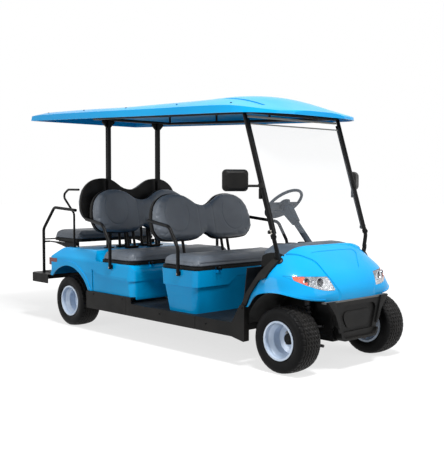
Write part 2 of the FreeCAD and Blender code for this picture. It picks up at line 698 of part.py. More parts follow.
def rim(centre, outward):
    """Deep-dished sheet rim with its hub. outward is 1 on the left and -1 on the right."""
    seat = BEAD_RADIUS - SEAT_GAP
    edge = BEAD_HALF_WIDTH + SEAT_GAP
    well = seat - RIM_WELL_DEPTH
    lip = seat + FLANGE_HEIGHT
    outer = [
        (seat - RIM_SHEET, -edge - FLANGE_WIDTH), (lip, -edge - FLANGE_WIDTH), (lip, -edge), (seat, -edge),
        (seat, -RIM_WELL_HALF_WIDTH * 2), (well, -RIM_WELL_HALF_WIDTH),
        (well, RIM_WELL_HALF_WIDTH), (seat, RIM_WELL_HALF_WIDTH * 2),
        (seat, edge), (lip, edge), (lip, edge + FLANGE_WIDTH), (seat - RIM_SHEET, edge + FLANGE_WIDTH),
    ]
    inner_seat = seat - RIM_SHEET
    inner_well = well - RIM_SHEET
    inner = [
        (inner_seat, RIM_WELL_HALF_WIDTH * 2), (inner_well, RIM_WELL_HALF_WIDTH),
        (inner_well, -RIM_WELL_HALF_WIDTH), (inner_seat, -RIM_WELL_HALF_WIDTH * 2),
    ]
    barrel = spun([(r, y * outward) for r, y in outer + inner], centre)
    disc_y = (DISC_INSET - BEAD_HALF_WIDTH) * outward
    dish = DISC_DISH * outward
    sheet = RIM_SHEET * outward
    bolt_edge = WHEEL_BOLT_CIRCLE_RADIUS + HUB_RADIUS / 2
    disc = spun([
        (0, disc_y), (bolt_edge, disc_y), (well - RIM_SHEET / 2, disc_y + dish),
        (well - RIM_SHEET / 2, disc_y + dish + sheet), (bolt_edge, disc_y + sheet), (0, disc_y + sheet),
    ], centre)
    start = centre + LEFT * (disc_y - HUB_INNER_LENGTH * outward)
    hub = rod(start, centre + LEFT * (disc_y + HUB_OUTER_LENGTH * outward), HUB_RADIUS)
    bore_end = start + LEFT * (HUB_BORE_DEPTH * outward)
    bore_start = start - LEFT * (CUT_OVERRUN * outward)
    wheel = fused([barrel, disc, hub]).cut(rod(bore_start, bore_end, SPINDLE_RADIUS + RUNNING_FIT))
    for i in range(WHEEL_BOLTS):
        turn = math.pi * (2 * i + 1) / WHEEL_BOLTS
        spot = centre + V(math.cos(turn), 0, math.sin(turn)) * WHEEL_BOLT_CIRCLE_RADIUS
        hole = rod(spot + LEFT * (disc_y - CUT_OVERRUN * outward),
                   spot + LEFT * (disc_y + CUT_OVERRUN * outward), WHEEL_BOLT_HOLE_RADIUS)
        wheel = wheel.cut(hole)
    return wheel


def hub_start_y():
    """How far out the inner end of a wheel's hub stands."""
    return WHEEL_CENTRE_Y - BEAD_HALF_WIDTH + DISC_INSET - HUB_INNER_LENGTH


def spindle_end_y():
    return hub_start_y() + HUB_BORE_DEPTH - SEAT_GAP


def rail_side(side):
    """The face of a frame rail that looks inward (side -1) or outward (side 1), left of the middle."""
    return RAIL_CENTRE_Y + side * (RAIL_WIDTH / 2 + SEAT_GAP)


def chassis_frame():
    """Two rails that step up over the rear axle."""
    top = RAIL_TOP_Z
    low = top - RAIL_DEPTH
    bay_front = REAR_AXLE_X + AXLE_BAY_HALF
    return both_sides(side_prism([
        (RAIL_FRONT_X, low), (RAIL_FRONT_X, top), (bay_front + RAIL_KICK_RUN, top),
        (bay_front, top + RAIL_KICK_Z), (RAIL_REAR_X, top + RAIL_KICK_Z),
        (RAIL_REAR_X, low + RAIL_KICK_Z), (bay_front, low + RAIL_KICK_Z), (bay_front + RAIL_KICK_RUN, low),
    ], RAIL_CENTRE_Y - RAIL_WIDTH / 2, RAIL_CENTRE_Y + RAIL_WIDTH / 2))


def chassis_crossmembers():
    """Straight members between the rails, and outriggers from the rails to the sills."""
    pieces = []
    inner = rail_side(-1)
    for x in (RAIL_FRONT_X - OUTRIGGER_WIDTH, TOE_FOOT_X, POD_TOP_FRONT_X, POD_TOP_REAR_X, BASE2_FRONT_X):
        pieces.append(box(x, x + OUTRIGGER_WIDTH, -inner, inner, RAIL_TOP_Z - OUTRIGGER_DEPTH, RAIL_TOP_Z))
    lifted = RAIL_TOP_Z + RAIL_KICK_Z
    for x in (REAR_AXLE_X - AXLE_BAY_HALF - OUTRIGGER_WIDTH, RAIL_REAR_X):
        pieces.append(box(x, x + OUTRIGGER_WIDTH, -inner, inner, lifted - OUTRIGGER_DEPTH, lifted))
    spring_end_x = REAR_AXLE_X + LEAF_HALF_SPAN + HANGER_LENGTH
    for x in (TOE_FOOT_X, POD_TOP_FRONT_X, POD_TOP_REAR_X, BASE2_FRONT_X, spring_end_x):
        arm = box(x, x + OUTRIGGER_WIDTH, rail_side(1), OUTRIGGER_REACH_Y,
                  RAIL_TOP_Z - OUTRIGGER_DEPTH, RAIL_TOP_Z)
        pieces += [arm, mirrored(arm)]
    return Part.makeCompound(pieces)


def chassis_brackets():
    """Towers that hold the coil-overs, and hangers for the ends of the leaf springs."""
    tower = box(-TOWER_HALF_LENGTH, TOWER_HALF_LENGTH, RAIL_CENTRE_Y - TOWER_WIDTH / 2,
                RAIL_CENTRE_Y + TOWER_WIDTH / 2, RAIL_TOP_Z + SEAT_GAP, TOWER_TOP_Z)
    head = box(-TOWER_HALF_LENGTH, TOWER_HALF_LENGTH, RAIL_CENTRE_Y, COIL_OVER_Y + COIL_OVER_RADIUS,
               TOWER_TOP_Z - TOWER_HEAD_DEPTH, TOWER_TOP_Z)
    left = [fused([tower, head])]
    low = leaf_end_z() + SEAT_GAP
    for x in (REAR_AXLE_X - LEAF_HALF_SPAN, REAR_AXLE_X + LEAF_HALF_SPAN):
        left.append(box(x - HANGER_LENGTH / 2, x + HANGER_LENGTH / 2, rail_side(1), LEAF_Y + LEAF_WIDTH / 2,
                        low, low + HANGER_DEPTH))
    rear_x = REAR_AXLE_X - LEAF_HALF_SPAN
    left.append(box(rear_x - HANGER_LENGTH / 2, rear_x + HANGER_LENGTH / 2, RAIL_CENTRE_Y - RAIL_WIDTH / 2,
                    RAIL_CENTRE_Y + RAIL_WIDTH / 2, low, RAIL_TOP_Z - RAIL_DEPTH + RAIL_KICK_Z - SEAT_GAP))
    return Part.makeCompound(left + [mirrored(piece) for piece in left])


def arm_root_y():
    """The wishbones' pivot line, just outside the frame rail."""
    return RAIL_CENTRE_Y + RAIL_WIDTH / 2 + ARM_TUBE_RADIUS + SEAT_GAP


def suspension_arm(height, side):
    """A wishbone: two tubes from its pivot to the kingpin's eye. side is 1 on the left, -1 on the right."""
    root_y = arm_root_y() * side
    eye = V(0, KINGPIN_Y * side, height)
    legs = [rod(V(x, root_y, height), eye, ARM_LEG_RADIUS) for x in (-ARM_SPREAD, ARM_SPREAD)]
    pivot = rod(V(-ARM_SPREAD - ARM_TUBE_RADIUS, root_y, height),
                V(ARM_SPREAD + ARM_TUBE_RADIUS, root_y, height), ARM_TUBE_RADIUS)
    ring = Part.makeCylinder(ARM_EYE_RADIUS, 2 * ARM_EYE_HALF_HEIGHT, eye - UP * ARM_EYE_HALF_HEIGHT)
    bore = Part.makeCylinder(KINGPIN_RADIUS + RUNNING_FIT, 2 * CUT_OVERRUN + 2 * ARM_EYE_HALF_HEIGHT,
                             eye - UP * (CUT_OVERRUN + ARM_EYE_HALF_HEIGHT))
    return legs + [pivot, ring], bore


def front_suspension():
    pieces = []
    high = TOWER_TOP_Z - TOWER_HEAD_DEPTH - SEAT_GAP
    foot_z = LOWER_ARM_Z + ARM_YOKE_RADIUS + SEAT_GAP
    coil_z = foot_z + DAMPER_EYE * 2
    for side in (1, -1):
        y = COIL_OVER_Y * side
        tubes, bore = suspension_arm(LOWER_ARM_Z, side)
        yoke = rod(V(-ARM_SPREAD / 2, y, LOWER_ARM_Z), V(ARM_SPREAD / 2, y, LOWER_ARM_Z), ARM_YOKE_RADIUS)
        pieces.append(fused(tubes + [yoke]).cut(bore))
        tubes, bore = suspension_arm(UPPER_ARM_Z, side)
        pieces.append(fused(tubes).cut(bore))
        damper = Part.makeCylinder(DAMPER_RADIUS, high - foot_z, V(0, y, foot_z))
        coil = Part.makeCylinder(COIL_OVER_RADIUS, high - coil_z, V(0, y, coil_z))
        pieces.append(fused([damper, coil]))
    return Part.makeCompound(pieces)


def steering_gear():
    """The gear's housing stands on the rails behind the axle."""
    z = RAIL_TOP_Z + SEAT_GAP + GEAR_RADIUS
    case = rod(V(GEAR_X, -GEAR_HALF_LENGTH, z), V(GEAR_X, GEAR_HALF_LENGTH, z), GEAR_RADIUS)
    feet = [box(GEAR_X - GEAR_RADIUS, GEAR_X + GEAR_RADIUS, y - GEAR_RADIUS, y + GEAR_RADIUS,
                RAIL_TOP_Z, z) for y in (-RAIL_CENTRE_Y, RAIL_CENTRE_Y)]
    return fused([case] + feet)


def knuckle(side):
    """side is 1 on the left and -1 on the right."""
    y = KINGPIN_Y * side
    low = LOWER_ARM_Z + ARM_EYE_HALF_HEIGHT + KINGPIN_END_GAP
    high = UPPER_ARM_Z - ARM_EYE_HALF_HEIGHT - KINGPIN_END_GAP
    pin = Part.makeCylinder(KINGPIN_RADIUS, UPPER_ARM_Z - LOWER_ARM_Z + 2 * ARM_EYE_HALF_HEIGHT,
                            V(0, y, LOWER_ARM_Z - ARM_EYE_HALF_HEIGHT))
    barrel = Part.makeCylinder(KINGPIN_BARREL_RADIUS, high - low, V(0, y, low))
    root = V(0, y, TYRE_RADIUS)
    stub = rod(root, V(0, spindle_end_y() * side, TYRE_RADIUS), SPINDLE_RADIUS)
    boss = rod(root, V(0, (hub_start_y() - SEAT_GAP) * side, TYRE_RADIUS), BOSS_RADIUS)
    half = STEER_ARM_WIDTH / 2
    arm = box(-STEER_ARM_LENGTH, 0, y - half, y + half, STEER_ARM_Z - STEER_ARM_THICKNESS / 2,
              STEER_ARM_Z + STEER_ARM_THICKNESS / 2)
    tip = Part.makeCylinder(half, STEER_ARM_THICKNESS,
                            V(-STEER_ARM_LENGTH, y, STEER_ARM_Z - STEER_ARM_THICKNESS / 2))
    tie_pin = Part.makeCylinder(TIE_PIN_RADIUS,
                                STEER_ARM_THICKNESS / 2 + SEAT_GAP + 2 * TIE_ROD_EYE_HALF_HEIGHT,
                                V(-STEER_ARM_LENGTH, y, STEER_ARM_Z), UP * -1)
    return fused([pin, barrel, stub, boss, arm, tip, tie_pin])


def tie_rod():
    z = STEER_ARM_Z - STEER_ARM_THICKNESS / 2 - SEAT_GAP - TIE_ROD_EYE_HALF_HEIGHT
    left = V(-STEER_ARM_LENGTH, KINGPIN_Y, z)
    right = V(-STEER_ARM_LENGTH, -KINGPIN_Y, z)
    eyes = [Part.makeCylinder(TIE_ROD_EYE_RADIUS, 2 * TIE_ROD_EYE_HALF_HEIGHT,
                              end - UP * TIE_ROD_EYE_HALF_HEIGHT)
            for end in (left, right)]
    bar = fused(eyes + [rod(left, right, TIE_ROD_RADIUS)])
    for end, slack in ((left, RUNNING_FIT), (right, OPEN_EYE_CLEARANCE)):
        bar = bar.cut(Part.makeCylinder(TIE_PIN_RADIUS + slack, 2 * CUT_OVERRUN, end - UP * CUT_OVERRUN))
    return bar


def rear_axle():
    centre = V(REAR_AXLE_X, 0, TYRE_RADIUS)
    tube_part = rod(centre - LEFT * AXLE_TUBE_HALF, centre + LEFT * AXLE_TUBE_HALF, AXLE_TUBE_RADIUS)
    case = Part.makeSphere(DIFF_RADIUS, centre)
    shaft = rod(centre - LEFT * spindle_end_y(), centre + LEFT * spindle_end_y(), SPINDLE_RADIUS)
    drum_end = hub_start_y() - SEAT_GAP
    drum = rod(centre + LEFT * (drum_end - DRUM_DEPTH), centre + LEFT * drum_end, DRUM_RADIUS)
    return fused([tube_part, case, shaft, drum, mirrored(drum)])


def leaf_seat_z():
    return TYRE_RADIUS - AXLE_TUBE_RADIUS - SEAT_GAP


def leaf_end_z():
    return leaf_seat_z() + LEAF_RISE


def rear_springs():
    x = REAR_AXLE_X
    seat_z = leaf_seat_z()
    arc = Part.Arc(V(x - LEAF_HALF_SPAN, 0, seat_z + LEAF_RISE), V(x, 0, seat_z),
                   V(x + LEAF_HALF_SPAN, 0, seat_z + LEAF_RISE)).toShape()
    low = Part.Arc(V(x - LEAF_HALF_SPAN, 0, seat_z + LEAF_RISE - LEAF_THICKNESS / 2),
                   V(x, 0, seat_z - LEAF_THICKNESS),
                   V(x + LEAF_HALF_SPAN, 0, seat_z + LEAF_RISE - LEAF_THICKNESS / 2)).toShape()
    ends = [Part.makeLine(arc.Vertexes[i].Point, low.Vertexes[i].Point) for i in (0, 1)]
    leaf = Part.Face(Part.Wire([arc, ends[1], low, ends[0]])).extrude(LEFT * LEAF_WIDTH)
    leaf.translate(LEFT * (LEAF_Y - LEAF_WIDTH / 2))
    return both_sides(leaf)


def drive_motor():
    start = V(REAR_AXLE_X + DIFF_RADIUS + SEAT_GAP, 0, TYRE_RADIUS)
    return rod(start, start + FORWARD * MOTOR_LENGTH, MOTOR_RADIUS)


def battery_pack():
    half = BODY_HALF_WIDTH * BATTERY_WIDTH_SHARE
    return box(POD_TOP_REAR_X + POD_TAPER_X * 2, POD_TOP_FRONT_X - POD_TAPER_X * 2, -half, half,
               FLOOR_TOP_Z,
               POD_STEP_Z)


def floor_pan():
    low = RAIL_TOP_Z
    rear_x = REAR_AXLE_X + AXLE_BAY_HALF + RAIL_KICK_RUN
    plate = side_prism([
        (rear_x, low), (rear_x, FLOOR_TOP_Z), (TOE_FOOT_X, FLOOR_TOP_Z), (TOE_BEND_X, TOE_BEND_Z),
        (TOE_TOP_X, TOE_TOP_Z), (TOE_TOP_X + TOE_SHEET, TOE_TOP_Z), (TOE_BEND_X + TOE_SHEET, TOE_BEND_Z),
        (TOE_FOOT_X + TOE_SHEET, low),
    ], -FLOOR_HALF_WIDTH, FLOOR_HALF_WIDTH)
    return plate


def sill_outline(inset):
    return [
        (SILL_TIP_X - inset, SILL_TIP_Z + inset), (SILL_TIP_X - inset, SILL_RISER_Z - inset),
        (SILL_RISER_X, SILL_RISER_Z - inset), (TOE_FOOT_X, FLOOR_TOP_Z - inset),
        (BASE2_FRONT_X + inset, FLOOR_TOP_Z - inset), (BASE2_FRONT_X + inset, BODY_LOW_Z - inset),
        (SILL_REAR_X + inset, BODY_LOW_Z - inset), (SILL_REAR_X + inset, SILL_BOTTOM_Z + inset),
        (TOE_FOOT_X, SILL_BOTTOM_Z + inset),
    ]


def side_sills():
    outer = side_prism(sill_outline(0), SILL_INNER_Y, SILL_OUTER_Y, SILL_CORNER)
    inner = side_prism(sill_outline(SILL_WALL), SILL_INNER_Y - CUT_OVERRUN, SILL_OUTER_Y - SILL_WALL,
                       SILL_CORNER)
    seams = [box(x, x + SILL_SEAM_WIDTH, SILL_OUTER_Y - SILL_WALL / 2, SILL_OUTER_Y + CUT_OVERRUN,
                 SILL_TIP_Z,
                 SILL_RISER_Z) for x in (POD_TOP_FRONT_X, BASE2_FRONT_X - BODY_CORNER)]
    return both_sides(outer.cut([inner] + seams))


def cowl_body(inset):
    """The closed form of the front cowl, drawn in by an inset: a loft of waterlines."""
    rings = []
    for height_share, reach_share, width_share, power in COWL_LINE_SHARES:
        z = COWL_BASE_Z + height_share * (COWL_TOP_Z - COWL_BASE_Z - inset)
        reach = reach_share * (COWL_FRONT_X - COWL_ROOT_X) - inset
        half = width_share * BODY_HALF_WIDTH - inset
        points = []
        for i in range(COWL_POINTS_PER_LINE):
            turn = math.pi * (i / (COWL_POINTS_PER_LINE - 1) - 0.5)
            across = math.copysign(abs(math.sin(turn)) ** (2 / power), turn)
            along = abs(math.cos(turn)) ** (2 / power) if 0 < i < COWL_POINTS_PER_LINE - 1 else 0.0
            points.append(V(COWL_ROOT_X + reach * along, half * across, z))
        rings.append(Part.Wire([smooth(points), Part.makeLine(points[-1], points[0])]))
    return Part.makeLoft(rings, True, False)


def cowl_side_cut():
    """What lies in front of the cowl's rear edge, seen from the side."""
    reach = COWL_FRONT_X + VALANCE_LIP_X
    high = COWL_TOP_Z + CUT_OVERRUN
    half = BODY_HALF_WIDTH + CUT_OVERRUN
    low = COWL_BASE_Z
    return side_prism([
        (COWL_CUT_TOP_X, high), (COWL_CUT_TOP_X, COWL_TOP_Z - CUT_OVERRUN),
        (COWL_CUT_SHOULDER_X, COWL_CUT_SHOULDER_Z), (COWL_CUT_WAIST_X, COWL_CUT_WAIST_Z),
        (COWL_CUT_FOOT_X, low), (reach, low), (reach, high),
    ], -half, half)


def front_arch(grow):
    """The opening over a front wheel, grown by a lip's width and pushed outward."""
    low = COWL_BASE_Z - CUT_OVERRUN
    y = FRONT_ARCH_INNER_Y
    rise = FRONT_ARCH_TOP_Z + grow - low
    points = []
    for along, up in FRONT_ARCH_SHARES:
        reach = (FRONT_ARCH_FRONT_X if along > 0 else -FRONT_ARCH_REAR_X) + grow
        points.append(V(FRONT_ARCH_TOP_X * (1 - abs(along)) + along * reach, y, low + up * rise))
    top = smooth(points)
    front = V(points[-1].x, y, low)
    closing = [Part.makeLine(points[-1], front), Part.makeLine(front, points[0])]
    return Part.Face(Part.Wire([top] + closing)).extrude(LEFT * (BODY_HALF_WIDTH + CUT_OVERRUN - y))


def lamp_prism(gap):
    """The lamp's outline in front view, grown by a gap and pushed along X."""
    x = LAMP_TIP_X - LAMP_DEPTH * 2
    tip, top = V(x, LAMP_TIP_Y, LAMP_TIP_Z), V(x, LAMP_TOP_Y, LAMP_TOP_Z)
    low = V(x, LAMP_LOW_Y, LAMP_LOW_Z)
    sag = V(x, (LAMP_LOW_Y + LAMP_TIP_Y) / 2, (LAMP_LOW_Z + LAMP_TIP_Z) / 2 - LAMP_SAG)
    belly = Part.Arc(low, sag, tip).toShape()
    outline = Part.Wire([Part.makeLine(tip, top), Part.makeLine(top, low), belly])
    if gap > 0:
        outline = outline.makeOffset2D(gap)
    return Part.Face(outline).extrude(FORWARD * (COWL_FRONT_X + CUT_OVERRUN - x))


def hood_outline():
    """The middle panel in plan: it narrows from the rear edge to the lamps, then curls in at the nose."""
    reach = COWL_FRONT_X - COWL_ROOT_X
    left = [V(COWL_ROOT_X + along * reach, across * BODY_HALF_WIDTH, COWL_EDGE_Z) for along,
            across in HOOD_EDGE_SHARES]
    right = [V(p.x, -p.y, p.z) for p in left]
    edge = smooth(left)
    far = smooth(right)
    wire = Part.Wire([edge, Part.makeLine(left[-1], right[-1]), far, Part.makeLine(right[0], left[0])])
    return Part.Face(wire).extrude(UP * (COWL_TOP_Z - COWL_EDGE_Z + CUT_OVERRUN))


def hood_panel():
    """A raised panel as thick as its rise and half the skin, with a shallow field let into it."""
    panel = cowl_body(-HOOD_RISE).cut(cowl_body(SKIN / 2)).common(hood_outline())
    reach = COWL_FRONT_X - COWL_ROOT_X
    (rear_along, rear_across), (front_along, front_across) = HOOD_FIELD_SHARES
    rear_x, front_x = COWL_ROOT_X + rear_along * reach, COWL_ROOT_X + front_along * reach
    rear_y, front_y = rear_across * BODY_HALF_WIDTH, front_across * BODY_HALF_WIDTH
    field = plan_prism([(rear_x, -rear_y), (rear_x, rear_y), (front_x, front_y), (front_x, -front_y)],
                       COWL_EDGE_Z, COWL_TOP_Z + CUT_OVERRUN, HOOD_FIELD_CORNER)
    return panel.cut(field.cut(cowl_body(HOOD_FIELD_DEPTH - HOOD_RISE)))


def front_cowl():
    lip = cowl_lip()
    shell = cowl_body(0).cut(cowl_body(SKIN)).fuse([hood_panel(), lip, mirrored(lip)])
    shell = shell.common(cowl_side_cut())
    nose = box(0, COWL_FRONT_X + CUT_OVERRUN, -FRONT_ARCH_INNER_Y, FRONT_ARCH_INNER_Y,
               COWL_BASE_Z - CUT_OVERRUN, COWL_EDGE_Z)
    arch = front_arch(0)
    lamp = lamp_prism(LAMP_GAP)
    sill_top = box(COWL_ROOT_X, SILL_TIP_X + SEAT_GAP, -BODY_HALF_WIDTH, BODY_HALF_WIDTH,
                   COWL_BASE_Z - CUT_OVERRUN, SILL_RISER_Z + SEAT_GAP)
    return shell.cut([nose, sill_top, arch, mirrored(arch), lamp, mirrored(lamp)])


def cowl_lip():
    """The rolled lip round each front wheel opening."""
    band = front_arch(ARCH_LIP_WIDTH).cut(front_arch(0))
    skin = cowl_body(-ARCH_LIP_PROUD).cut(cowl_body(SKIN / 2))
    return band.common(skin)


def headlamps():
    glass = lamp_prism(0).common(cowl_body(0)).cut(cowl_body(LAMP_DEPTH))
    return both_sides(glass)


def valance_outline(inset, low_z):
    return [
        (-VALANCE_BOTTOM_HALF + inset, low_z), (VALANCE_BOTTOM_HALF - inset, low_z),
        (VALANCE_TOP_HALF - inset, VALANCE_TOP_Z - inset),
        (-VALANCE_TOP_HALF + inset, VALANCE_TOP_Z - inset),
    ]


def front_valance():
    """A U-shaped frame round an inset panel, with a lip along its foot and a strip under the bonnet."""
    back = VALANCE_LIP_X - VALANCE_DEPTH
    face = VALANCE_LIP_X - VALANCE_LIP_PROUD
    frame = front_prism(valance_outline(0, VALANCE_BOTTOM_Z), back, face, VALANCE_FRAME)
    window = front_prism(valance_outline(VALANCE_FRAME, VALANCE_BOTTOM_Z + VALANCE_FRAME),
                         face - VALANCE_INSET,
                         face + CUT_OVERRUN, VALANCE_FRAME)
    field = front_prism(valance_outline(VALANCE_FRAME * 2, VALANCE_BOTTOM_Z + VALANCE_FRAME * 2),
                        face - VALANCE_INSET - SKIN, face - VALANCE_INSET / 2, VALANCE_FRAME)
    lip = front_prism(valance_outline(0, VALANCE_BOTTOM_Z), face - SKIN, VALANCE_LIP_X, VALANCE_FRAME).cut(
        front_prism(valance_outline(VALANCE_LIP_WIDTH, VALANCE_BOTTOM_Z + VALANCE_LIP_WIDTH),
                    face, VALANCE_LIP_X + CUT_OVERRUN, VALANCE_FRAME))
    lip = lip.common(box(face - SKIN, VALANCE_LIP_X, -VALANCE_TOP_HALF, VALANCE_TOP_HALF, VALANCE_BOTTOM_Z,
                         VALANCE_BOTTOM_Z + VALANCE_LIP_HEIGHT))
    hollow = front_prism(valance_outline(SKIN * 2, VALANCE_BOTTOM_Z + SKIN * 2), back - CUT_OVERRUN,
                         face - VALANCE_INSET - SKIN * 2, VALANCE_FRAME)
    strip = box(back, VALANCE_STRIP_X, -VALANCE_STRIP_HALF, VALANCE_STRIP_HALF,
                VALANCE_TOP_Z - VALANCE_STRIP_HEIGHT,
                VALANCE_TOP_Z)
    return frame.cut([window, hollow]).fuse([field, lip, strip])


def dashboard():
    outline = [
        (COWL_CUT_TOP_X - SEAT_GAP, COWL_TOP_Z - SKIN * 2), (DASH_CROWN_X, DASH_TOP_REAR_Z + DASH_CROWN),
        (DASH_REAR_X, DASH_TOP_REAR_Z - DASH_CROWN), (DASH_REAR_X, DASH_NOSE_Z),
        (DASH_CHIN_X - DASH_CHIN_DEPTH, DASH_CHIN_Z), (DASH_CHIN_X, DASH_CHIN_Z),
        (TOE_TOP_X - SEAT_GAP, TOE_TOP_Z + SEAT_GAP),
        (COWL_CUT_SHOULDER_X - DASH_CROWN, TOE_TOP_Z + SEAT_GAP),
        (COWL_CUT_SHOULDER_X - DASH_CROWN, COWL_CUT_SHOULDER_Z),
    ]
    return side_prism(outline, -DASH_HALF_WIDTH, DASH_HALF_WIDTH)


def cowl_pads():
    """Black corner mouldings at the pillar feet, with the trim that runs down the cowl's rear edge."""
    proud = cowl_body(-PAD_PROUD).cut(cowl_body(-SEAT_GAP))
    outline = [
        (COWL_CUT_TOP_X, COWL_CUT_SHOULDER_Z + CUT_OVERRUN),
        (COWL_CUT_SHOULDER_X, COWL_CUT_SHOULDER_Z + CUT_OVERRUN * 2),
        (COWL_CUT_WAIST_X - TRIM_WIDTH, COWL_CUT_WAIST_Z + CUT_OVERRUN),
        (SILL_RISER_X, SILL_RISER_Z + SEAT_GAP),
        (SILL_TIP_X, SILL_RISER_Z + SEAT_GAP), (COWL_CUT_WAIST_X, COWL_CUT_WAIST_Z),
        (COWL_CUT_WAIST_X + TRIM_WIDTH * 2, COWL_CUT_WAIST_Z + CUT_OVERRUN),
    ]
    pad = side_prism(outline, PILLAR_Y_FOOT, BODY_HALF_WIDTH + CUT_OVERRUN)
    return both_sides(proud.common(pad))


def rounded_rectangle(x0, x1, half_y, z, corner):
    points = [V(x0, -half_y, z), V(x1, -half_y, z), V(x1, half_y, z), V(x0, half_y, z)]
    return rounded_path(points, corner, True)


def pod_ring(z, in_x, in_y):
    return rounded_rectangle(POD_TOP_REAR_X + in_x, POD_TOP_FRONT_X - in_x, BODY_HALF_WIDTH - in_y, z,
                             POD_CORNER)


def lid_axis(front_x, pod_top, y):
    """A point on the line that a bench's lid turns about, ahead of the lid's front edge."""
    return V(front_x + BOARD_MARGIN + LID_HINGE_REACH, y, pod_top + BOARD_HEIGHT / 2)


def lid_pins(front_x, pod_top):
    """The fixed halves of a lid's two hinges: a pin between two lugs."""
    pieces = []
    for y in (-LID_HINGE_Y, LID_HINGE_Y):
        spot = lid_axis(front_x, pod_top, y)
        reach = LID_BARREL_WIDTH / 2 + SEAT_GAP
        pieces.append(rod(spot - LEFT * (reach + LID_LUG_WIDTH), spot + LEFT * (reach + LID_LUG_WIDTH),
                          LID_PIN_RADIUS))
        for near in (y - reach - LID_LUG_WIDTH, y + reach):
            pieces.append(box(spot.x - LID_HINGE_REACH + LID_BARREL_RADIUS / 2, spot.x + LID_BARREL_RADIUS,
                              near, near + LID_LUG_WIDTH, pod_top - BOARD_HEIGHT,
                              spot.z + LID_BARREL_RADIUS))
    return pieces


def pod_neck(z, inset):
    """The pod's lower taper carried on upward: its outline at a height, drawn in by an inset."""
    neck = POD_STEP_IN + POD_STEP_WIDTH
    rise = (z - POD_STEP_Z) / (POD_STEP_Z - FLOOR_TOP_Z)
    return pod_ring(z, neck - (POD_TAPER_X - neck) * rise + inset,
                    neck - (POD_TAPER_Y - neck) * rise + inset)


def pod_field(grow):
    """The trapezoid that the ledge rises round on the front wall."""
    outline = [
        (-POD_FIELD_FOOT_HALF - grow, POD_STEP_Z), (POD_FIELD_FOOT_HALF + grow, POD_STEP_Z),
        (POD_FIELD_HEAD_HALF + grow, POD_FIELD_TOP_Z + grow),
        (-POD_FIELD_HEAD_HALF - grow, POD_FIELD_TOP_Z + grow),
    ]
    return front_prism(outline, POD_TOP_FRONT_X - POD_TAPER_X, POD_TOP_FRONT_X + CUT_OVERRUN)


def seat_pod():
    """Tapered box with a step, open above and below; the step's ledge is as thick as the wall."""
    foot_x, foot_y = POD_TAPER_X, POD_TAPER_Y
    neck = POD_STEP_IN + POD_STEP_WIDTH
    lower = Part.makeLoft([pod_ring(FLOOR_TOP_Z, foot_x, foot_y), pod_ring(POD_STEP_Z, neck, neck)], True,
                          True)
    upper = Part.makeLoft([pod_ring(POD_STEP_Z, POD_STEP_IN, POD_STEP_IN), pod_ring(POD_TOP_Z, 0, 0)], True,
                          True)
    core = Part.makeLoft([pod_ring(FLOOR_TOP_Z - SKIN, foot_x + SKIN, foot_y + SKIN),
                          pod_ring(POD_STEP_Z + SKIN, neck + SKIN, neck + SKIN)], True, True)
    bowl = Part.makeLoft([pod_ring(POD_STEP_Z + SKIN, POD_STEP_IN + SKIN, POD_STEP_IN + SKIN),
                          pod_ring(POD_TOP_Z + SKIN, SKIN, SKIN)], True, True)
    field = pod_field(0)
    top_z = POD_FIELD_TOP_Z + SKIN
    let_in = Part.makeLoft([pod_neck(POD_STEP_Z, 0), pod_neck(top_z, 0)], True, True)
    behind = Part.makeLoft([pod_neck(POD_STEP_Z, SKIN), pod_neck(top_z, SKIN)], True, True)
    border = upper.common(pod_field(SKIN)).cut([field, behind])
    shell = lower.fuse(upper).cut([core, bowl, field]).fuse([let_in.common(field).cut(behind), border])
    inside = box(POD_TOP_REAR_X, POD_TOP_FRONT_X - SKIN / 2, -BODY_HALF_WIDTH, BODY_HALF_WIDTH, FLOOR_TOP_Z,
                 POD_TOP_Z + BOARD_HEIGHT)
    pins = [piece.cut(inside) for piece in lid_pins(CUSHION_FRONT_X, POD_TOP_Z)]
    return shell.fuse(pins)


def rear_body_form(inset):
    """The closed form of the rear body, drawn in by an inset."""
    half = BODY_HALF_WIDTH - inset
    high = DECK_Z - inset
    tail = BODY_TAIL_X + inset
    front = BASE2_FRONT_X - inset
    seat_z = BASE2_TOP_Z - inset
    low = FLOOR_TOP_Z + SEAT_GAP - (CUT_OVERRUN if inset > 0 else 0)
    sweep = SWEEP
    side = side_prism([
        (front, low), (front, seat_z), (SCOOP_X, seat_z), (SCOOP_X - SCOOP_RUN, high),
        (tail + TAIL_DROP_X, high), (tail, BODY_TAIL_LOW_Z + POD_STEP_Z - BODY_LOW_Z),
        (tail + sweep, low),
    ], -half, half, BODY_CORNER)
    across = front_prism([
        (-half + sweep, low), (half - sweep, low), (half, POD_STEP_Z), (half - SKIN * 2, BASE2_TOP_Z),
        (half - BODY_CORNER, high + SKIN), (-half + BODY_CORNER, high + SKIN),
        (-half + SKIN * 2, BASE2_TOP_Z),
        (-half, POD_STEP_Z),
    ], tail, front, BODY_CORNER)
    plan = plan_prism([(front, -half), (front, half), (tail, half), (tail, -half)], low, high, BODY_CORNER)
    return side.common(across).common(plan)


def rear_arch(grow):
    """The opening over a rear wheel, grown by a flare's width and pushed outward."""
    turns = [math.pi * share for share in REAR_ARCH_SHARES]
    points = [V(REAR_ARCH_X + (REAR_ARCH_HALF_LENGTH + grow) * math.cos(t), REAR_ARCH_INNER_Y,
                REAR_ARCH_Z + (REAR_ARCH_HEIGHT + grow) * math.sin(t)) for t in turns]
    wire = Part.Wire([smooth(points), Part.makeLine(points[-1], points[0])])
    return Part.Face(wire).extrude(LEFT * (BODY_HALF_WIDTH + CUT_OVERRUN - REAR_ARCH_INNER_Y))


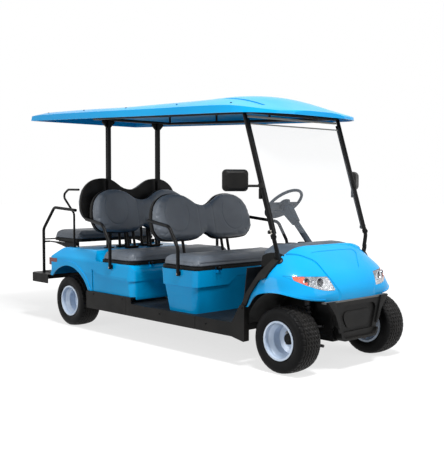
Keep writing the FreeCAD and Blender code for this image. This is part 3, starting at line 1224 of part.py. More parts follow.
def crease_zone(drop):
    """What lies below the crease that runs along each side and round the front, let down by a drop."""
    front = BASE2_FRONT_X + CUT_OVERRUN
    low = FLOOR_TOP_Z - CUT_OVERRUN
    half = BODY_HALF_WIDTH + CUT_OVERRUN
    arch_x = REAR_ARCH_X + REAR_ARCH_HALF_LENGTH
    return side_prism([
        (front, low), (front, CREASE_Z - drop), (arch_x + CREASE_RUN, CREASE_Z - drop),
        (arch_x + FLARE_WIDTH, CREASE_Z + CREASE_RISE - drop), (arch_x + FLARE_WIDTH, low),
    ], -half, half)


def rear_flare():
    """The raised band round a rear wheel opening, on the body's side and tail corner."""
    skin = rear_body_form(-FLARE_PROUD).cut(rear_body_form(SKIN / 2))
    side = box(BODY_TAIL_X - CUT_OVERRUN, REAR_ARCH_X + REAR_ARCH_HALF_LENGTH + FLARE_WIDTH,
               BODY_HALF_WIDTH - BODY_CORNER, BODY_HALF_WIDTH + CUT_OVERRUN, FLOOR_TOP_Z, DECK_Z)
    return skin.common(rear_arch(FLARE_WIDTH)).common(side)


def rear_body():
    """Moulded shell: an upper part, a panel let in below the crease, and a ledge as thick as the wall."""
    upper = rear_body_form(0).cut(crease_zone(0))
    lower = rear_body_form(CREASE_INSET).common(crease_zone(0))
    flare = rear_flare()
    solid = upper.fuse([lower, flare, mirrored(flare)])
    shell = solid.cut([rear_body_form(SKIN).cut(crease_zone(-SKIN)), rear_body_form(CREASE_INSET + SKIN)])
    tail_cut = box(BODY_TAIL_X - CUT_OVERRUN, REAR_ARCH_X, -BODY_HALF_WIDTH - CUT_OVERRUN,
                   BODY_HALF_WIDTH + CUT_OVERRUN, FLOOR_TOP_Z - CUT_OVERRUN, BODY_TAIL_LOW_Z)
    low_cut = box(BODY_TAIL_X - CUT_OVERRUN, BASE2_FRONT_X - CREASE_INSET - SKIN,
                  -BODY_HALF_WIDTH - CUT_OVERRUN,
                  BODY_HALF_WIDTH + CUT_OVERRUN, FLOOR_TOP_Z - CUT_OVERRUN, BODY_LOW_Z)
    sill_cut = box(BODY_TAIL_X - CUT_OVERRUN, BASE2_FRONT_X + CUT_OVERRUN, SILL_INNER_Y - SEAT_GAP,
                   BODY_HALF_WIDTH + CUT_OVERRUN, FLOOR_TOP_Z - CUT_OVERRUN, BODY_LOW_Z + SEAT_GAP)
    arch = rear_arch(0)
    pins = [piece.cut(rear_body_form(SKIN / 2)) for piece in lid_pins(MIDDLE_FRONT_X, BASE2_TOP_Z)]
    return shell.cut([tail_cut, low_cut, sill_cut, mirrored(sill_cut), arch, mirrored(arch)]).fuse(pins)


def tail_lamps():
    block = box(BODY_TAIL_X - CUT_OVERRUN, BODY_TAIL_X + BODY_CORNER * 2,
                TAIL_LAMP_Y - TAIL_LAMP_HALF_WIDTH,
                BODY_HALF_WIDTH - SKIN, TAIL_LAMP_LOW_Z, TAIL_LAMP_HIGH_Z)
    lamp = block.common(rear_body_form(-TAIL_LAMP_DEPTH)).cut(rear_body_form(-SEAT_GAP))
    return both_sides(lamp)


def arch_liners():
    centre = V(0, LINER_INNER_Y, TYRE_RADIUS)
    width = LINER_OUTER_Y - LINER_INNER_Y
    sheet = Part.makeCylinder(LINER_RADIUS, width, centre, LEFT).cut(
        Part.makeCylinder(LINER_RADIUS - LINER_SHEET, width, centre, LEFT))
    front = sheet.common(box(-LINER_RADIUS, FRONT_ARCH_TOP_X, LINER_INNER_Y, LINER_OUTER_Y,
                             FLOOR_TOP_Z + SEAT_GAP, TYRE_RADIUS + LINER_RADIUS))
    return both_sides(front)


def rear_footrest():
    low = STEP_TOP_Z - STEP_THICKNESS
    plan = [
        (STEP_FRONT_X, -STEP_HALF_WIDTH), (STEP_FRONT_X, STEP_HALF_WIDTH),
        (STEP_REAR_X + STEP_BEVEL, STEP_HALF_WIDTH), (STEP_REAR_X, STEP_HALF_WIDTH - STEP_BEVEL),
        (STEP_REAR_X, -STEP_HALF_WIDTH + STEP_BEVEL), (STEP_REAR_X + STEP_BEVEL, -STEP_HALF_WIDTH),
    ]
    block = plan_prism(plan, low, STEP_TOP_Z)
    inner = [(x + (STEP_WALL if x < STEP_FRONT_X else CUT_OVERRUN), y - math.copysign(STEP_WALL, y)) for x,
             y in plan]
    tray = block.cut(plan_prism(inner, low - CUT_OVERRUN, STEP_TOP_Z - STEP_WALL))
    tread = plan_prism([
        (BODY_TAIL_X - TREAD_MARGIN, -TREAD_HALF), (BODY_TAIL_X - TREAD_MARGIN, TREAD_HALF),
        (STEP_REAR_X + TREAD_MARGIN, TREAD_HALF), (STEP_REAR_X + TREAD_MARGIN, -TREAD_HALF),
    ], STEP_TOP_Z - STEP_WALL, STEP_TOP_Z + TREAD_RISE, TREAD_CORNER)
    return fused([tray, tread])


def back_outline(grow):
    half = BACK_HALF_WIDTH + grow
    right = [V(0, half * y, BACK_HEIGHT * z + grow * (2 * z - 1)) for y, z in BACK_OUTLINE_SHARES]
    left = [V(0, -p.y, p.z) for p in reversed(right[1:-1])]
    return Part.Face(Part.Wire(smooth(right + left, True)))


def placed_back(solid, low_x, low_z, lean):
    """Leans a backrest that was made upright at the origin."""
    solid.rotate(V(0, 0, 0), LEFT, -lean)
    solid.translate(V(low_x, 0, low_z))
    return solid


def backrest_pad(low_x, low_z, lean, facing):
    pad = back_outline(0).extrude(FORWARD * (BACK_PAD_DEPTH * facing))
    return placed_back(pad, low_x, low_z, lean)


def backrest_shell(low_x, low_z, lean, facing):
    shell = back_outline(BACK_SHELL_MARGIN).extrude(FORWARD * (-BACK_SHELL_DEPTH * facing))
    shell.translate(FORWARD * (-SEAT_GAP * facing))
    return placed_back(shell, low_x, low_z, lean)


def backrest_shells():
    return Part.makeCompound([
        backrest_shell(FRONT_BACK_LOW_X, FRONT_BACK_LOW_Z, FRONT_BACK_LEAN, 1),
        backrest_shell(MIDDLE_BACK_LOW_X, MIDDLE_BACK_LOW_Z, MIDDLE_BACK_LEAN, 1),
        backrest_shell(REAR_BACK_LOW_X, REAR_BACK_LOW_Z, REAR_BACK_LEAN, -1),
    ])


def post_line_x(low_x, low_z, lean, facing, z):
    """Where the posts' centre line runs behind a leaning backrest shell, at a height."""
    tilt = math.radians(lean)
    offset = (BACK_SHELL_DEPTH + POST_RADIUS + 2 * SEAT_GAP) * facing / math.cos(tilt)
    return low_x - offset - math.tan(tilt) * (z - low_z)


def back_posts(low_x, low_z, lean, facing, foot_z, post_y):
    """Two pairs of posts that rise behind a backrest shell, on foot plates."""
    top_z = low_z + BACK_HEIGHT / 2
    plate_z = foot_z + POST_FOOT_THICKNESS
    foot_x = post_line_x(low_x, low_z, lean, facing, plate_z)
    pieces = []
    for y in (post_y - POST_SPLIT / 2, post_y + POST_SPLIT / 2):
        foot = V(foot_x, y, plate_z)
        pieces.append(rod(foot, V(post_line_x(low_x, low_z, lean, facing, top_z), y, top_z), POST_RADIUS))
    reach = POST_SPLIT / 2 + POST_RADIUS * 2
    pieces.append(box(foot_x - POST_RADIUS * 2, foot_x + POST_RADIUS * 2, post_y - reach, post_y + reach,
                      foot_z, plate_z + POST_FOOT_THICKNESS))
    return fused(pieces)


def seat_frames():
    front = back_posts(FRONT_BACK_LOW_X, FRONT_BACK_LOW_Z, FRONT_BACK_LEAN, 1, POD_TOP_Z - FRONT_POST_DROP,
                       POST_Y)
    foot_x = post_line_x(FRONT_BACK_LOW_X, FRONT_BACK_LOW_Z, FRONT_BACK_LEAN, 1,
                         POD_TOP_Z - FRONT_POST_DROP)
    reach = POST_SPLIT / 2 + POST_RADIUS * 2
    bracket_z = POD_TOP_Z - FRONT_POST_DROP + POST_FOOT_THICKNESS
    wall_in = POD_STEP_IN * (POD_TOP_Z - bracket_z) / (POD_TOP_Z - POD_STEP_Z)
    bracket = box(foot_x, POD_TOP_REAR_X + wall_in - SEAT_GAP, POST_Y - reach, POST_Y + reach,
                  POD_TOP_Z - FRONT_POST_DROP, bracket_z)
    front = fused([front, bracket])
    deck = DECK_Z + SEAT_GAP
    middle = back_posts(MIDDLE_BACK_LOW_X, MIDDLE_BACK_LOW_Z, MIDDLE_BACK_LEAN, 1, deck, POST_Y / 2)
    rear = back_posts(REAR_BACK_LOW_X, REAR_BACK_LOW_Z, REAR_BACK_LEAN, -1, deck, POST_Y / 2)
    return Part.makeCompound([front, mirrored(front), middle, mirrored(middle), rear, mirrored(rear)])


def arm_rail(foot_x, drop):
    shift = foot_x - ARM_RAIL_FOOT_X
    return tube([
        V(foot_x, ARM_RAIL_Y, ARM_RAIL_FOOT_Z - drop), V(foot_x, ARM_RAIL_Y, ARM_RAIL_KNEE_Z - drop),
        V(ARM_RAIL_ELBOW_X + shift, ARM_RAIL_Y, ARM_RAIL_ELBOW_Z - drop),
        V(ARM_RAIL_END_X + shift, ARM_RAIL_END_Y, ARM_RAIL_END_Z - drop),
    ], RAIL_TUBE_RADIUS, ARM_RAIL_BEND)


def arm_rail_lug(foot_x, drop, wall):
    """Lug from an arm rail's foot to the wall that carries it."""
    middle = ARM_RAIL_FOOT_Z - drop + ARM_LUG_RISE
    lug = box(foot_x - RAIL_TUBE_RADIUS, foot_x + RAIL_TUBE_RADIUS, BODY_HALF_WIDTH - POD_TAPER_Y,
              ARM_RAIL_Y,
              middle - RAIL_TUBE_RADIUS, middle + RAIL_TUBE_RADIUS)
    return lug.cut(wall)


def arm_rails():
    pod = Part.makeLoft([pod_ring(POD_STEP_Z, POD_STEP_IN - SEAT_GAP, POD_STEP_IN - SEAT_GAP),
                         pod_ring(POD_TOP_Z, -SEAT_GAP, -SEAT_GAP)], True, True)
    first = fused([arm_rail(ARM_RAIL_FOOT_X, 0), arm_rail_lug(ARM_RAIL_FOOT_X, 0, pod)])
    second = fused([arm_rail(MIDDLE_ARM_RAIL_FOOT_X, ARM_RAIL_DROP),
                    arm_rail_lug(MIDDLE_ARM_RAIL_FOOT_X, ARM_RAIL_DROP, rear_body_form(-SEAT_GAP))])
    return Part.makeCompound([first, mirrored(first), second, mirrored(second)])


def rear_rails():
    outer = tube([
        V(REAR_RAIL_FOOT_X, REAR_RAIL_Y, STEP_TOP_Z), V(REAR_RAIL_FOOT_X, REAR_RAIL_Y, REAR_RAIL_KNEE_Z),
        V(REAR_RAIL_ELBOW_X, REAR_RAIL_Y, REAR_RAIL_ELBOW_Z),
        V(REAR_RAIL_END_X, REAR_RAIL_Y, REAR_RAIL_END_Z),
    ], RAIL_TUBE_RADIUS, REAR_RAIL_BEND)
    loop = tube([
        V(LOOP_FOOT_X, LOOP_Y, DECK_Z), V(LOOP_FOOT_X, LOOP_Y, LOOP_KNEE_Z),
        V(LOOP_NOSE_X, LOOP_Y, LOOP_NOSE_Z), V((LOOP_NOSE_X + LOOP_FOOT_X) / 2, LOOP_Y, LOOP_TOP_Z),
        V(REAR_RAIL_END_X, LOOP_Y, LOOP_TOP_Z),
    ], LOOP_RADIUS, LOOP_BEND)
    post = V(REAR_RAIL_FOOT_X, REAR_RAIL_Y, BED_HINGE_Z)
    pin_root = V(BED_HINGE_X, REAR_RAIL_Y, BED_HINGE_Z)
    pin = rod(pin_root, V(BED_HINGE_X, bed_ear_y() - SEAT_GAP, BED_HINGE_Z), BED_PIN_RADIUS)
    outer = fused([outer, rod(post, pin_root, BED_PIN_RADIUS), pin])
    return Part.makeCompound([outer, mirrored(outer), loop, mirrored(loop)])


def roof_form(inset):
    """The closed form of the roof, drawn in by an inset: an upright edge band under a crowned top."""
    rings = []
    for along, width, band, crown, shoulder in ROOF_STATION_SHARES:
        x = ROOF_FRONT_X + along * (ROOF_REAR_X - ROOF_FRONT_X) + inset * (2 * along - 1)
        low = ROOF_DRIP_FRONT_Z + along * (ROOF_DRIP_REAR_Z - ROOF_DRIP_FRONT_Z)
        half = width * ROOF_HALF_WIDTH - inset
        edge = low + band * ROOF_CROWN - inset
        top = low + crown * ROOF_CROWN - inset
        bottom = low - (CUT_OVERRUN if inset else 0)
        upper_half = half - ROOF_BAND_LEAN
        middle = V(x, shoulder * half, edge + (top - edge) * ROOF_SHOULDER_RISE_SHARE)
        arch = smooth([V(x, -upper_half, edge), V(x, -middle.y, middle.z), V(x, 0, top), middle,
                       V(x, upper_half, edge)])
        rings.append(Part.Wire([
            Part.makeLine(V(x, -half, bottom), V(x, -upper_half, edge)), arch,
            Part.makeLine(V(x, upper_half, edge), V(x, half, bottom)),
            Part.makeLine(V(x, half, bottom), V(x, -half, bottom)),
        ]))
    return Part.makeLoft(rings, True, False)


def drain(grow):
    """The channel pressed into each front shoulder of the roof, grown by the sheet for its underside."""
    y = DRAIN_Y_SHARE * ROOF_HALF_WIDTH
    half = DRAIN_HALF_WIDTH + grow
    x0, x1 = DRAIN_REAR_X - grow, DRAIN_FRONT_X + grow
    channel = plan_prism([(x0, y - half), (x0, y + half), (x1, y + half), (x1, y - half)],
                         ROOF_DRIP_FRONT_Z,
                         ROOF_DRIP_REAR_Z + ROOF_CROWN, half * CORNER_REACH_SHARE)
    return channel.cut(roof_form(DRAIN_DEPTH + grow))


def roof():
    upper, under = drain(0), drain(ROOF_SHEET)
    outside = roof_form(0).cut([upper, mirrored(upper)])
    return outside.cut(roof_form(ROOF_SHEET).cut([under, mirrored(under)]))


def roof_frame():
    front_x, rear_x = PILLAR_TOP_X, STRUT_X
    front_z, rear_z = roof_rail_z(front_x), roof_rail_z(rear_x)
    rail = rod(V(front_x, ROOF_RAIL_Y, front_z), V(rear_x, ROOF_RAIL_Y, rear_z), ROOF_RAIL_RADIUS)
    front = rod(V(front_x, -PILLAR_Y_TOP, front_z), V(front_x, PILLAR_Y_TOP, front_z), ROOF_RAIL_RADIUS)
    rear = rod(V(rear_x, -ROOF_RAIL_Y, rear_z), V(rear_x, ROOF_RAIL_Y, rear_z), ROOF_RAIL_RADIUS)
    under = drain(ROOF_SHEET + SEAT_GAP)
    inside = roof_form(ROOF_SHEET + SEAT_GAP).cut([under, mirrored(under)])
    pads = []
    for i in range(ROOF_PADS):
        x = front_x + (rear_x - front_x) * i / (ROOF_PADS - 1)
        stem = Part.makeCylinder(ROOF_PAD_RADIUS, ROOF_CROWN, V(x, ROOF_RAIL_Y, roof_rail_z(x)))
        pads += [stem.common(inside), mirrored(stem).common(inside)]
    return fused([rail, mirrored(rail), front, rear] + pads)


def windscreen_pillars():
    post = tube([
        V(PILLAR_FOOT_X, PILLAR_Y_FOOT, PILLAR_FOOT_Z), V(PILLAR_BEND_X, PILLAR_Y_BEND, PILLAR_BEND_Z),
        V(PILLAR_TOP_X, PILLAR_Y_TOP, PILLAR_END_Z),
    ], PILLAR_RADIUS, PILLAR_BEND_RADIUS)
    header_z = roof_rail_z(PILLAR_TOP_X)
    header = rod(V(PILLAR_TOP_X, -PILLAR_Y_TOP, header_z), V(PILLAR_TOP_X, PILLAR_Y_TOP * 2, header_z),
                 ROOF_RAIL_RADIUS + SEAT_GAP)
    rear = V(STRUT_X, ROOF_RAIL_Y, roof_rail_z(STRUT_X))
    rail = rod(V(PILLAR_TOP_X, ROOF_RAIL_Y, header_z), rear, ROOF_RAIL_RADIUS + SEAT_GAP)
    clamp_low, clamp_high = SCREEN_LOW_Z - CLAMP_HEIGHT - SKIN, SCREEN_LOW_Z - SKIN
    clamp = rod(pillar_point(clamp_low), pillar_point(clamp_high), PILLAR_RADIUS + CLAMP_WALL)
    ear = box(pillar_x(clamp_high), pillar_x(clamp_high) + PILLAR_RADIUS + CLAMP_REACH,
              PILLAR_Y_BEND - CLAMP_WALL, PILLAR_Y_BEND + CLAMP_WALL, clamp_low, clamp_high - SKIN)
    return both_sides(fused([post, clamp, ear]).cut([header, rail]))


def pillar_x(z):
    run = (PILLAR_TOP_X - PILLAR_BEND_X) / (PILLAR_END_Z - PILLAR_BEND_Z)
    return PILLAR_BEND_X + run * (z - PILLAR_BEND_Z)


def pillar_point(z):
    run = (PILLAR_Y_TOP - PILLAR_Y_BEND) / (PILLAR_END_Z - PILLAR_BEND_Z)
    return V(pillar_x(z), PILLAR_Y_BEND + run * (z - PILLAR_BEND_Z), z)


def windscreen():
    half = PILLAR_Y_BEND - PILLAR_RADIUS - SEAT_GAP
    low_x, high_x = pillar_x(SCREEN_LOW_Z), pillar_x(SCREEN_HIGH_Z)
    return side_prism([
        (low_x, SCREEN_LOW_Z), (low_x + SCREEN_THICKNESS, SCREEN_LOW_Z),
        (high_x + SCREEN_THICKNESS, SCREEN_HIGH_Z), (high_x, SCREEN_HIGH_Z),
    ], -half, half)


def roof_rail_slope():
    return (ROOF_DRIP_REAR_Z - ROOF_DRIP_FRONT_Z) / (ROOF_REAR_X - ROOF_FRONT_X)


def roof_rail_z(x):
    """Height of the roof rails' centre line."""
    return PILLAR_TOP_Z + ROOF_RAIL_RADIUS + roof_rail_slope() * (x - PILLAR_TOP_X)


def strut_top_z():
    return roof_rail_z(STRUT_X) - ROOF_RAIL_RADIUS - SEAT_GAP


def rear_struts():
    """Square posts with a foot plate on the deck and a T-shaped head under the roof's rear bar."""
    top = strut_top_z()
    post = box(STRUT_X - STRUT_HALF_LENGTH, STRUT_X + STRUT_HALF_LENGTH, STRUT_Y - STRUT_HALF_WIDTH,
               STRUT_Y + STRUT_HALF_WIDTH, DECK_Z, top)
    foot = box(STRUT_X - STRUT_FOOT_HALF, STRUT_X + STRUT_FOOT_HALF, STRUT_Y - STRUT_FOOT_HALF,
               STRUT_Y + STRUT_FOOT_HALF, DECK_Z, DECK_Z + STRUT_PLATE)
    head = front_prism([
        (STRUT_Y - STRUT_HEAD_HALF, top), (STRUT_Y + STRUT_HEAD_HALF, top),
        (STRUT_Y + STRUT_HEAD_HALF, top - STRUT_PLATE * 2),
        (STRUT_Y + STRUT_HALF_WIDTH, top - STRUT_HEAD_HALF),
        (STRUT_Y - STRUT_HALF_WIDTH, top - STRUT_HEAD_HALF),
        (STRUT_Y - STRUT_HEAD_HALF, top - STRUT_PLATE * 2),
    ], STRUT_X - STRUT_PLATE, STRUT_X + STRUT_PLATE)
    return both_sides(fused([post, foot, head]))


def mirror_ring(x, inset):
    half_y, half_z = MIRROR_WIDTH / 2 - inset, MIRROR_HEIGHT / 2 - inset
    return rounded_path([V(x, -half_y, -half_z), V(x, half_y, -half_z), V(x, half_y, half_z),
                         V(x, -half_y, half_z)],
                        MIRROR_CORNER, True)


def mirrors():
    """Heads whose housings taper forward, on arms that clamp round the pillars."""
    rear, front = -MIRROR_DEPTH / 2, MIRROR_DEPTH / 2
    rings = [mirror_ring(rear, 0), mirror_ring(0, MIRROR_WAIST), mirror_ring(front, MIRROR_BEVEL)]
    head = Part.makeLoft(rings, True, False)
    head.rotate(V(0, 0, 0), UP, MIRROR_TURN)
    head.translate(V(MIRROR_CENTRE_X, MIRROR_CENTRE_Y, MIRROR_Z + MIRROR_HEAD_LIFT))
    pillar = pillar_point(MIRROR_Z)
    arm = rod(pillar, V(MIRROR_CENTRE_X, MIRROR_CENTRE_Y, MIRROR_Z), MIRROR_ARM_RADIUS)
    low, high = pillar_point(MIRROR_Z - MIRROR_COLLAR / 2), pillar_point(MIRROR_Z + MIRROR_COLLAR / 2)
    collar = rod(low, high, PILLAR_RADIUS + MIRROR_COLLAR_WALL)
    bore = rod(pillar_point(SCREEN_LOW_Z), pillar_point(SCREEN_HIGH_Z), PILLAR_RADIUS + SEAT_GAP)
    inboard = PILLAR_Y_BEND - PILLAR_RADIUS
    glass = box(pillar_x(SCREEN_HIGH_Z), PILLAR_BEND_X, inboard - PILLAR_RADIUS, inboard + SEAT_GAP,
                SCREEN_LOW_Z, SCREEN_HIGH_Z)
    return both_sides(fused([head, arm, collar]).cut([bore, glass]))


def column_axis():
    along = V(WHEEL_HUB_X - COLUMN_FOOT_X, 0, WHEEL_HUB_Z - COLUMN_FOOT_Z)
    along.normalize()
    return along


def on_column(shape):
    """Sets a shape that was made round the Z axis on the column, its origin at the wheel's hub."""
    hub = V(WHEEL_HUB_X, COLUMN_Y, WHEEL_HUB_Z)
    shape.Placement = FreeCAD.Placement(hub, FreeCAD.Rotation(UP, column_axis()))
    return shape


def column_shroud():
    """The moulded housing below the wheel, wider at the driver's end, with its lever."""
    high = -STEERING_HUB_DEPTH - SHROUD_GAP
    low = high - COLUMN_SHROUD_LENGTH
    half_x, half_y = COLUMN_SHROUD_HEIGHT / 2, COLUMN_SHROUD_WIDTH / 2
    wide = [V(-half_x, -half_y, high), V(half_x, -half_y, high), V(half_x, half_y, high),
            V(-half_x, half_y, high)]
    slim_x, slim_y = half_x - SHROUD_TAPER, half_y - SHROUD_TAPER
    slim = [V(-slim_x, -slim_y, low), V(slim_x, -slim_y, low), V(slim_x, slim_y, low),
            V(-slim_x, slim_y, low)]
    housing = Part.makeLoft([rounded_path(slim, SHROUD_CORNER, True),
                             rounded_path(wide, SHROUD_CORNER, True)], True)
    lever_root = V(0, 0, high - LEVER_DROP)
    lever = rod(lever_root, lever_root - LEFT * LEVER_REACH, LEVER_RADIUS)
    return on_column(fused([housing, lever]))


def steering_column():
    foot = V(COLUMN_FOOT_X, COLUMN_Y, COLUMN_FOOT_Z)
    hub = V(WHEEL_HUB_X, COLUMN_Y, WHEEL_HUB_Z)
    along = column_axis()
    end = hub - along * (STEERING_HUB_DEPTH + SEAT_GAP)
    jacket = rod(foot - along * COLUMN_SHROUD_WIDTH, end, COLUMN_RADIUS).cut(dashboard())
    bore = rod(end - along * SHAFT_LENGTH, end + along * CUT_OVERRUN, SHAFT_RADIUS + RUNNING_FIT)
    return fused([jacket, column_shroud()]).cut(bore)


def steering_wheel():
    """Rim, hub and shaft, with one broad plate for the two upper spokes and the filled lower one."""
    rim_ring = Part.makeTorus(STEERING_RADIUS, STEERING_RIM)
    boss = Part.makeCylinder(STEERING_HUB_RADIUS, STEERING_HUB_DEPTH, V(0, 0, -STEERING_HUB_DEPTH))
    cap = Part.makeCone(STEERING_HUB_RADIUS + STEERING_RIM, STEERING_HUB_RADIUS, STEERING_RIM)
    shaft = Part.makeCylinder(SHAFT_RADIUS, SHAFT_LENGTH, V(0, 0, -SHAFT_LENGTH))
    reach = STEERING_RADIUS - STEERING_RIM / 2
    plate = plan_prism([
        (-reach, -SPOKE_FOOT_HALF), (-reach, SPOKE_FOOT_HALF), (-SPOKE_WIDTH / 2, reach),
        (SPOKE_WIDTH / 2, reach),
        (SPOKE_WIDTH / 2, -reach), (-SPOKE_WIDTH / 2, -reach),
    ], -STEERING_RIM, 0, SPOKE_CORNER)
    return on_column(fused([rim_ring, boss, cap, shaft, plate]))


def pedals():
    pads = []
    for y in (COLUMN_Y - PEDAL_GAP - PEDAL_WIDTH, COLUMN_Y + PEDAL_GAP - PEDAL_WIDTH / 2):
        pad = box(PEDAL_X - PEDAL_THICKNESS, PEDAL_X, y, y + PEDAL_WIDTH, PEDAL_Z, PEDAL_Z + PEDAL_HEIGHT)
        arm = box(PEDAL_X - PEDAL_THICKNESS, PEDAL_X, y + PEDAL_WIDTH / 2 - PEDAL_ARM_RADIUS,
                  y + PEDAL_WIDTH / 2 + PEDAL_ARM_RADIUS, FLOOR_TOP_Z, PEDAL_Z + SKIN)
        pads.append(fused([pad, arm]))
    return Part.makeCompound(pads)


def cushion(front_x, rear_x, half, low, high):
    block = plan_prism([(front_x, -half), (front_x, half), (rear_x, half), (rear_x, -half)], low, high,
                       CUSHION_CORNER)
    rim_edges = [edge for edge in block.Edges if edge.BoundBox.ZMin > high - SEAT_GAP]
    return block.makeFillet(CUSHION_CROWN_FILLET, rim_edges)


def bench_cushion(front_x, pod_top):
    low = pod_top + BOARD_HEIGHT + 2 * SEAT_GAP
    return cushion(front_x, front_x - CUSHION_DEPTH, CUSHION_HALF_WIDTH, low, low + CUSHION_HEIGHT)


def bench_board(front_x, pod_top):
    half = CUSHION_HALF_WIDTH + BOARD_MARGIN
    x0, x1 = front_x + BOARD_MARGIN, front_x - CUSHION_DEPTH - BOARD_MARGIN
    pieces = [plan_prism([(x0, -half), (x0, half), (x1, half), (x1, -half)], pod_top + SEAT_GAP,
                         pod_top + SEAT_GAP + BOARD_HEIGHT, CUSHION_CORNER)]
    bores = []
    for y in (-LID_HINGE_Y, LID_HINGE_Y):
        spot = lid_axis(front_x, pod_top, y)
        side = LEFT * (LID_BARREL_WIDTH / 2)
        pieces.append(rod(spot - side, spot + side, LID_BARREL_RADIUS))
        pieces.append(box(x0 - LID_HINGE_REACH, spot.x, y - side.y, y + side.y,
                          spot.z - LID_LINK_THICKNESS / 2,
                          spot.z + LID_LINK_THICKNESS / 2))
        bores.append(rod(spot - side * 2, spot + side * 2, LID_PIN_RADIUS + RUNNING_FIT))
    return fused(pieces).cut(bores)


def rear_cushion():
    low = REAR_BOARD_LOW_Z + BOARD_HEIGHT + SEAT_GAP
    return cushion(REAR_CUSHION_REAR_X + CUSHION_DEPTH, REAR_CUSHION_REAR_X, REAR_CUSHION_HALF_WIDTH, low,
                   low + CUSHION_HEIGHT)


def bench_webs():
    """Curved plates on the deck that the rear-facing bench rests on."""
    top = REAR_BOARD_LOW_Z - SEAT_GAP
    foot = DECK_Z
    front = REAR_CUSHION_REAR_X + CUSHION_DEPTH - WEB_MARGIN
    deck_end = BODY_TAIL_X + TAIL_DROP_X + BODY_CORNER
    tip = REAR_CUSHION_REAR_X + WEB_MARGIN * 2
    belly = Part.Arc(V(tip, 0, top - WEB_TIP_HEIGHT),
                     V((tip + deck_end) / 2, 0, top - WEB_TIP_HEIGHT - WEB_SAG),
                     V(deck_end, 0, foot)).toShape()
    corners = [V(deck_end, 0, foot), V(front, 0, foot), V(front, 0, top), V(tip, 0, top),
               V(tip, 0, top - WEB_TIP_HEIGHT)]
    edges = [Part.makeLine(corners[i], corners[i + 1]) for i in range(len(corners) - 1)]
    web = Part.Face(Part.Wire(edges + [belly])).extrude(LEFT * WEB_THICKNESS)
    web.translate(LEFT * (REAR_CUSHION_HALF_WIDTH - WEB_MARGIN))
    return both_sides(web)


def bed_ear_y():
    return REAR_CUSHION_HALF_WIDTH - BED_EAR_INSET


def rear_board():
    """The flip-over base, with an ear at each side that turns on the pin of a rail post."""
    half = REAR_CUSHION_HALF_WIDTH
    x0, x1 = REAR_CUSHION_REAR_X, REAR_CUSHION_REAR_X + CUSHION_DEPTH
    board = plan_prism([(x0, -half), (x0, half), (x1, half), (x1, -half)], REAR_BOARD_LOW_Z,
                       REAR_BOARD_LOW_Z + BOARD_HEIGHT, CUSHION_CORNER)
    ear_y = bed_ear_y()
    pivot = V(BED_HINGE_X, ear_y, BED_HINGE_Z)
    ear = rod(pivot, pivot + LEFT * BED_EAR_THICKNESS, BED_EAR_RADIUS)
    link = box(BED_HINGE_X, REAR_CUSHION_REAR_X + CUSHION_CORNER / 2, ear_y, ear_y + BED_EAR_THICKNESS,
               REAR_BOARD_LOW_Z, REAR_BOARD_LOW_Z + BOARD_HEIGHT)
    bore = rod(pivot - LEFT * CUT_OVERRUN, pivot + LEFT * CUT_OVERRUN, BED_PIN_RADIUS + RUNNING_FIT)
    side = fused([ear, link]).cut(bore)
    return fused([board, side, mirrored(side)])


def export(name, shape):
    moved = shape.copy()
    moved.translate(FORWARD * ORIGIN_SHIFT_X)
    moved.exportStep("parts/" + name + ".step")


def export_wheels():
    for place, x in (("front", 0.0), ("rear", REAR_AXLE_X)):
        for side, outward in (("left", 1), ("right", -1)):
            centre = V(x, WHEEL_CENTRE_Y * outward, TYRE_RADIUS)
            export("tyre_" + place + "_" + side, tyre(centre))
            export("rim_" + place + "_" + side, rim(centre, outward))


def main():
    os.makedirs("parts", exist_ok=True)
    parts = {
        "chassis_frame": chassis_frame(),
        "chassis_crossmembers": chassis_crossmembers(),
        "chassis_brackets": chassis_brackets(),
        "front_suspension": front_suspension(),
        "steering_gear": steering_gear(),
        "rear_axle": rear_axle(),
        "rear_springs": rear_springs(),
        "drive_motor": drive_motor(),
        "battery_pack": battery_pack(),
        "floor_pan": floor_pan(),
        "side_sills": side_sills(),
        "front_cowl": front_cowl(),
        "front_valance": front_valance(),
        "headlamps": headlamps(),
        "dashboard": dashboard(),
        "cowl_pads": cowl_pads(),
        "arch_liners": arch_liners(),
        "seat_pod": seat_pod(),
        "rear_body": rear_body(),
        "tail_lamps": tail_lamps(),
        "rear_footrest": rear_footrest(),
        "bench_webs": bench_webs(),
        "backrest_front": backrest_pad(FRONT_BACK_LOW_X, FRONT_BACK_LOW_Z, FRONT_BACK_LEAN, 1),
        "backrest_middle": backrest_pad(MIDDLE_BACK_LOW_X, MIDDLE_BACK_LOW_Z, MIDDLE_BACK_LEAN, 1),
        "backrest_rear": backrest_pad(REAR_BACK_LOW_X, REAR_BACK_LOW_Z, REAR_BACK_LEAN, -1),
        "backrest_shells": backrest_shells(),
        "seat_frames": seat_frames(),
        "arm_rails": arm_rails(),
        "rear_rails": rear_rails(),
        "roof": roof(),
        "roof_frame": roof_frame(),
        "windscreen_pillars": windscreen_pillars(),
        "rear_struts": rear_struts(),
        "windscreen": windscreen(),
        "mirrors": mirrors(),
        "steering_column": steering_column(),
        "pedals": pedals(),
        "steering_wheel": steering_wheel(),
        "cushion_front": bench_cushion(CUSHION_FRONT_X, POD_TOP_Z),
        "board_front": bench_board(CUSHION_FRONT_X, POD_TOP_Z),
        "cushion_middle": bench_cushion(MIDDLE_FRONT_X, BASE2_TOP_Z),
        "board_middle": bench_board(MIDDLE_FRONT_X, BASE2_TOP_Z),
        "cushion_rear": rear_cushion(),
        "board_rear": rear_board(),
        "knuckle_left": knuckle(1),
        "knuckle_right": knuckle(-1),
        "tie_rod": tie_rod(),
    }
    for name, shape in parts.items():
        export(name, shape)
    export_wheels()


main()
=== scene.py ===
"""Looks of a six-seat golf cart: materials, seat pads, tyres, lamps, small parts, floor, lights, camera."""
import json
import math

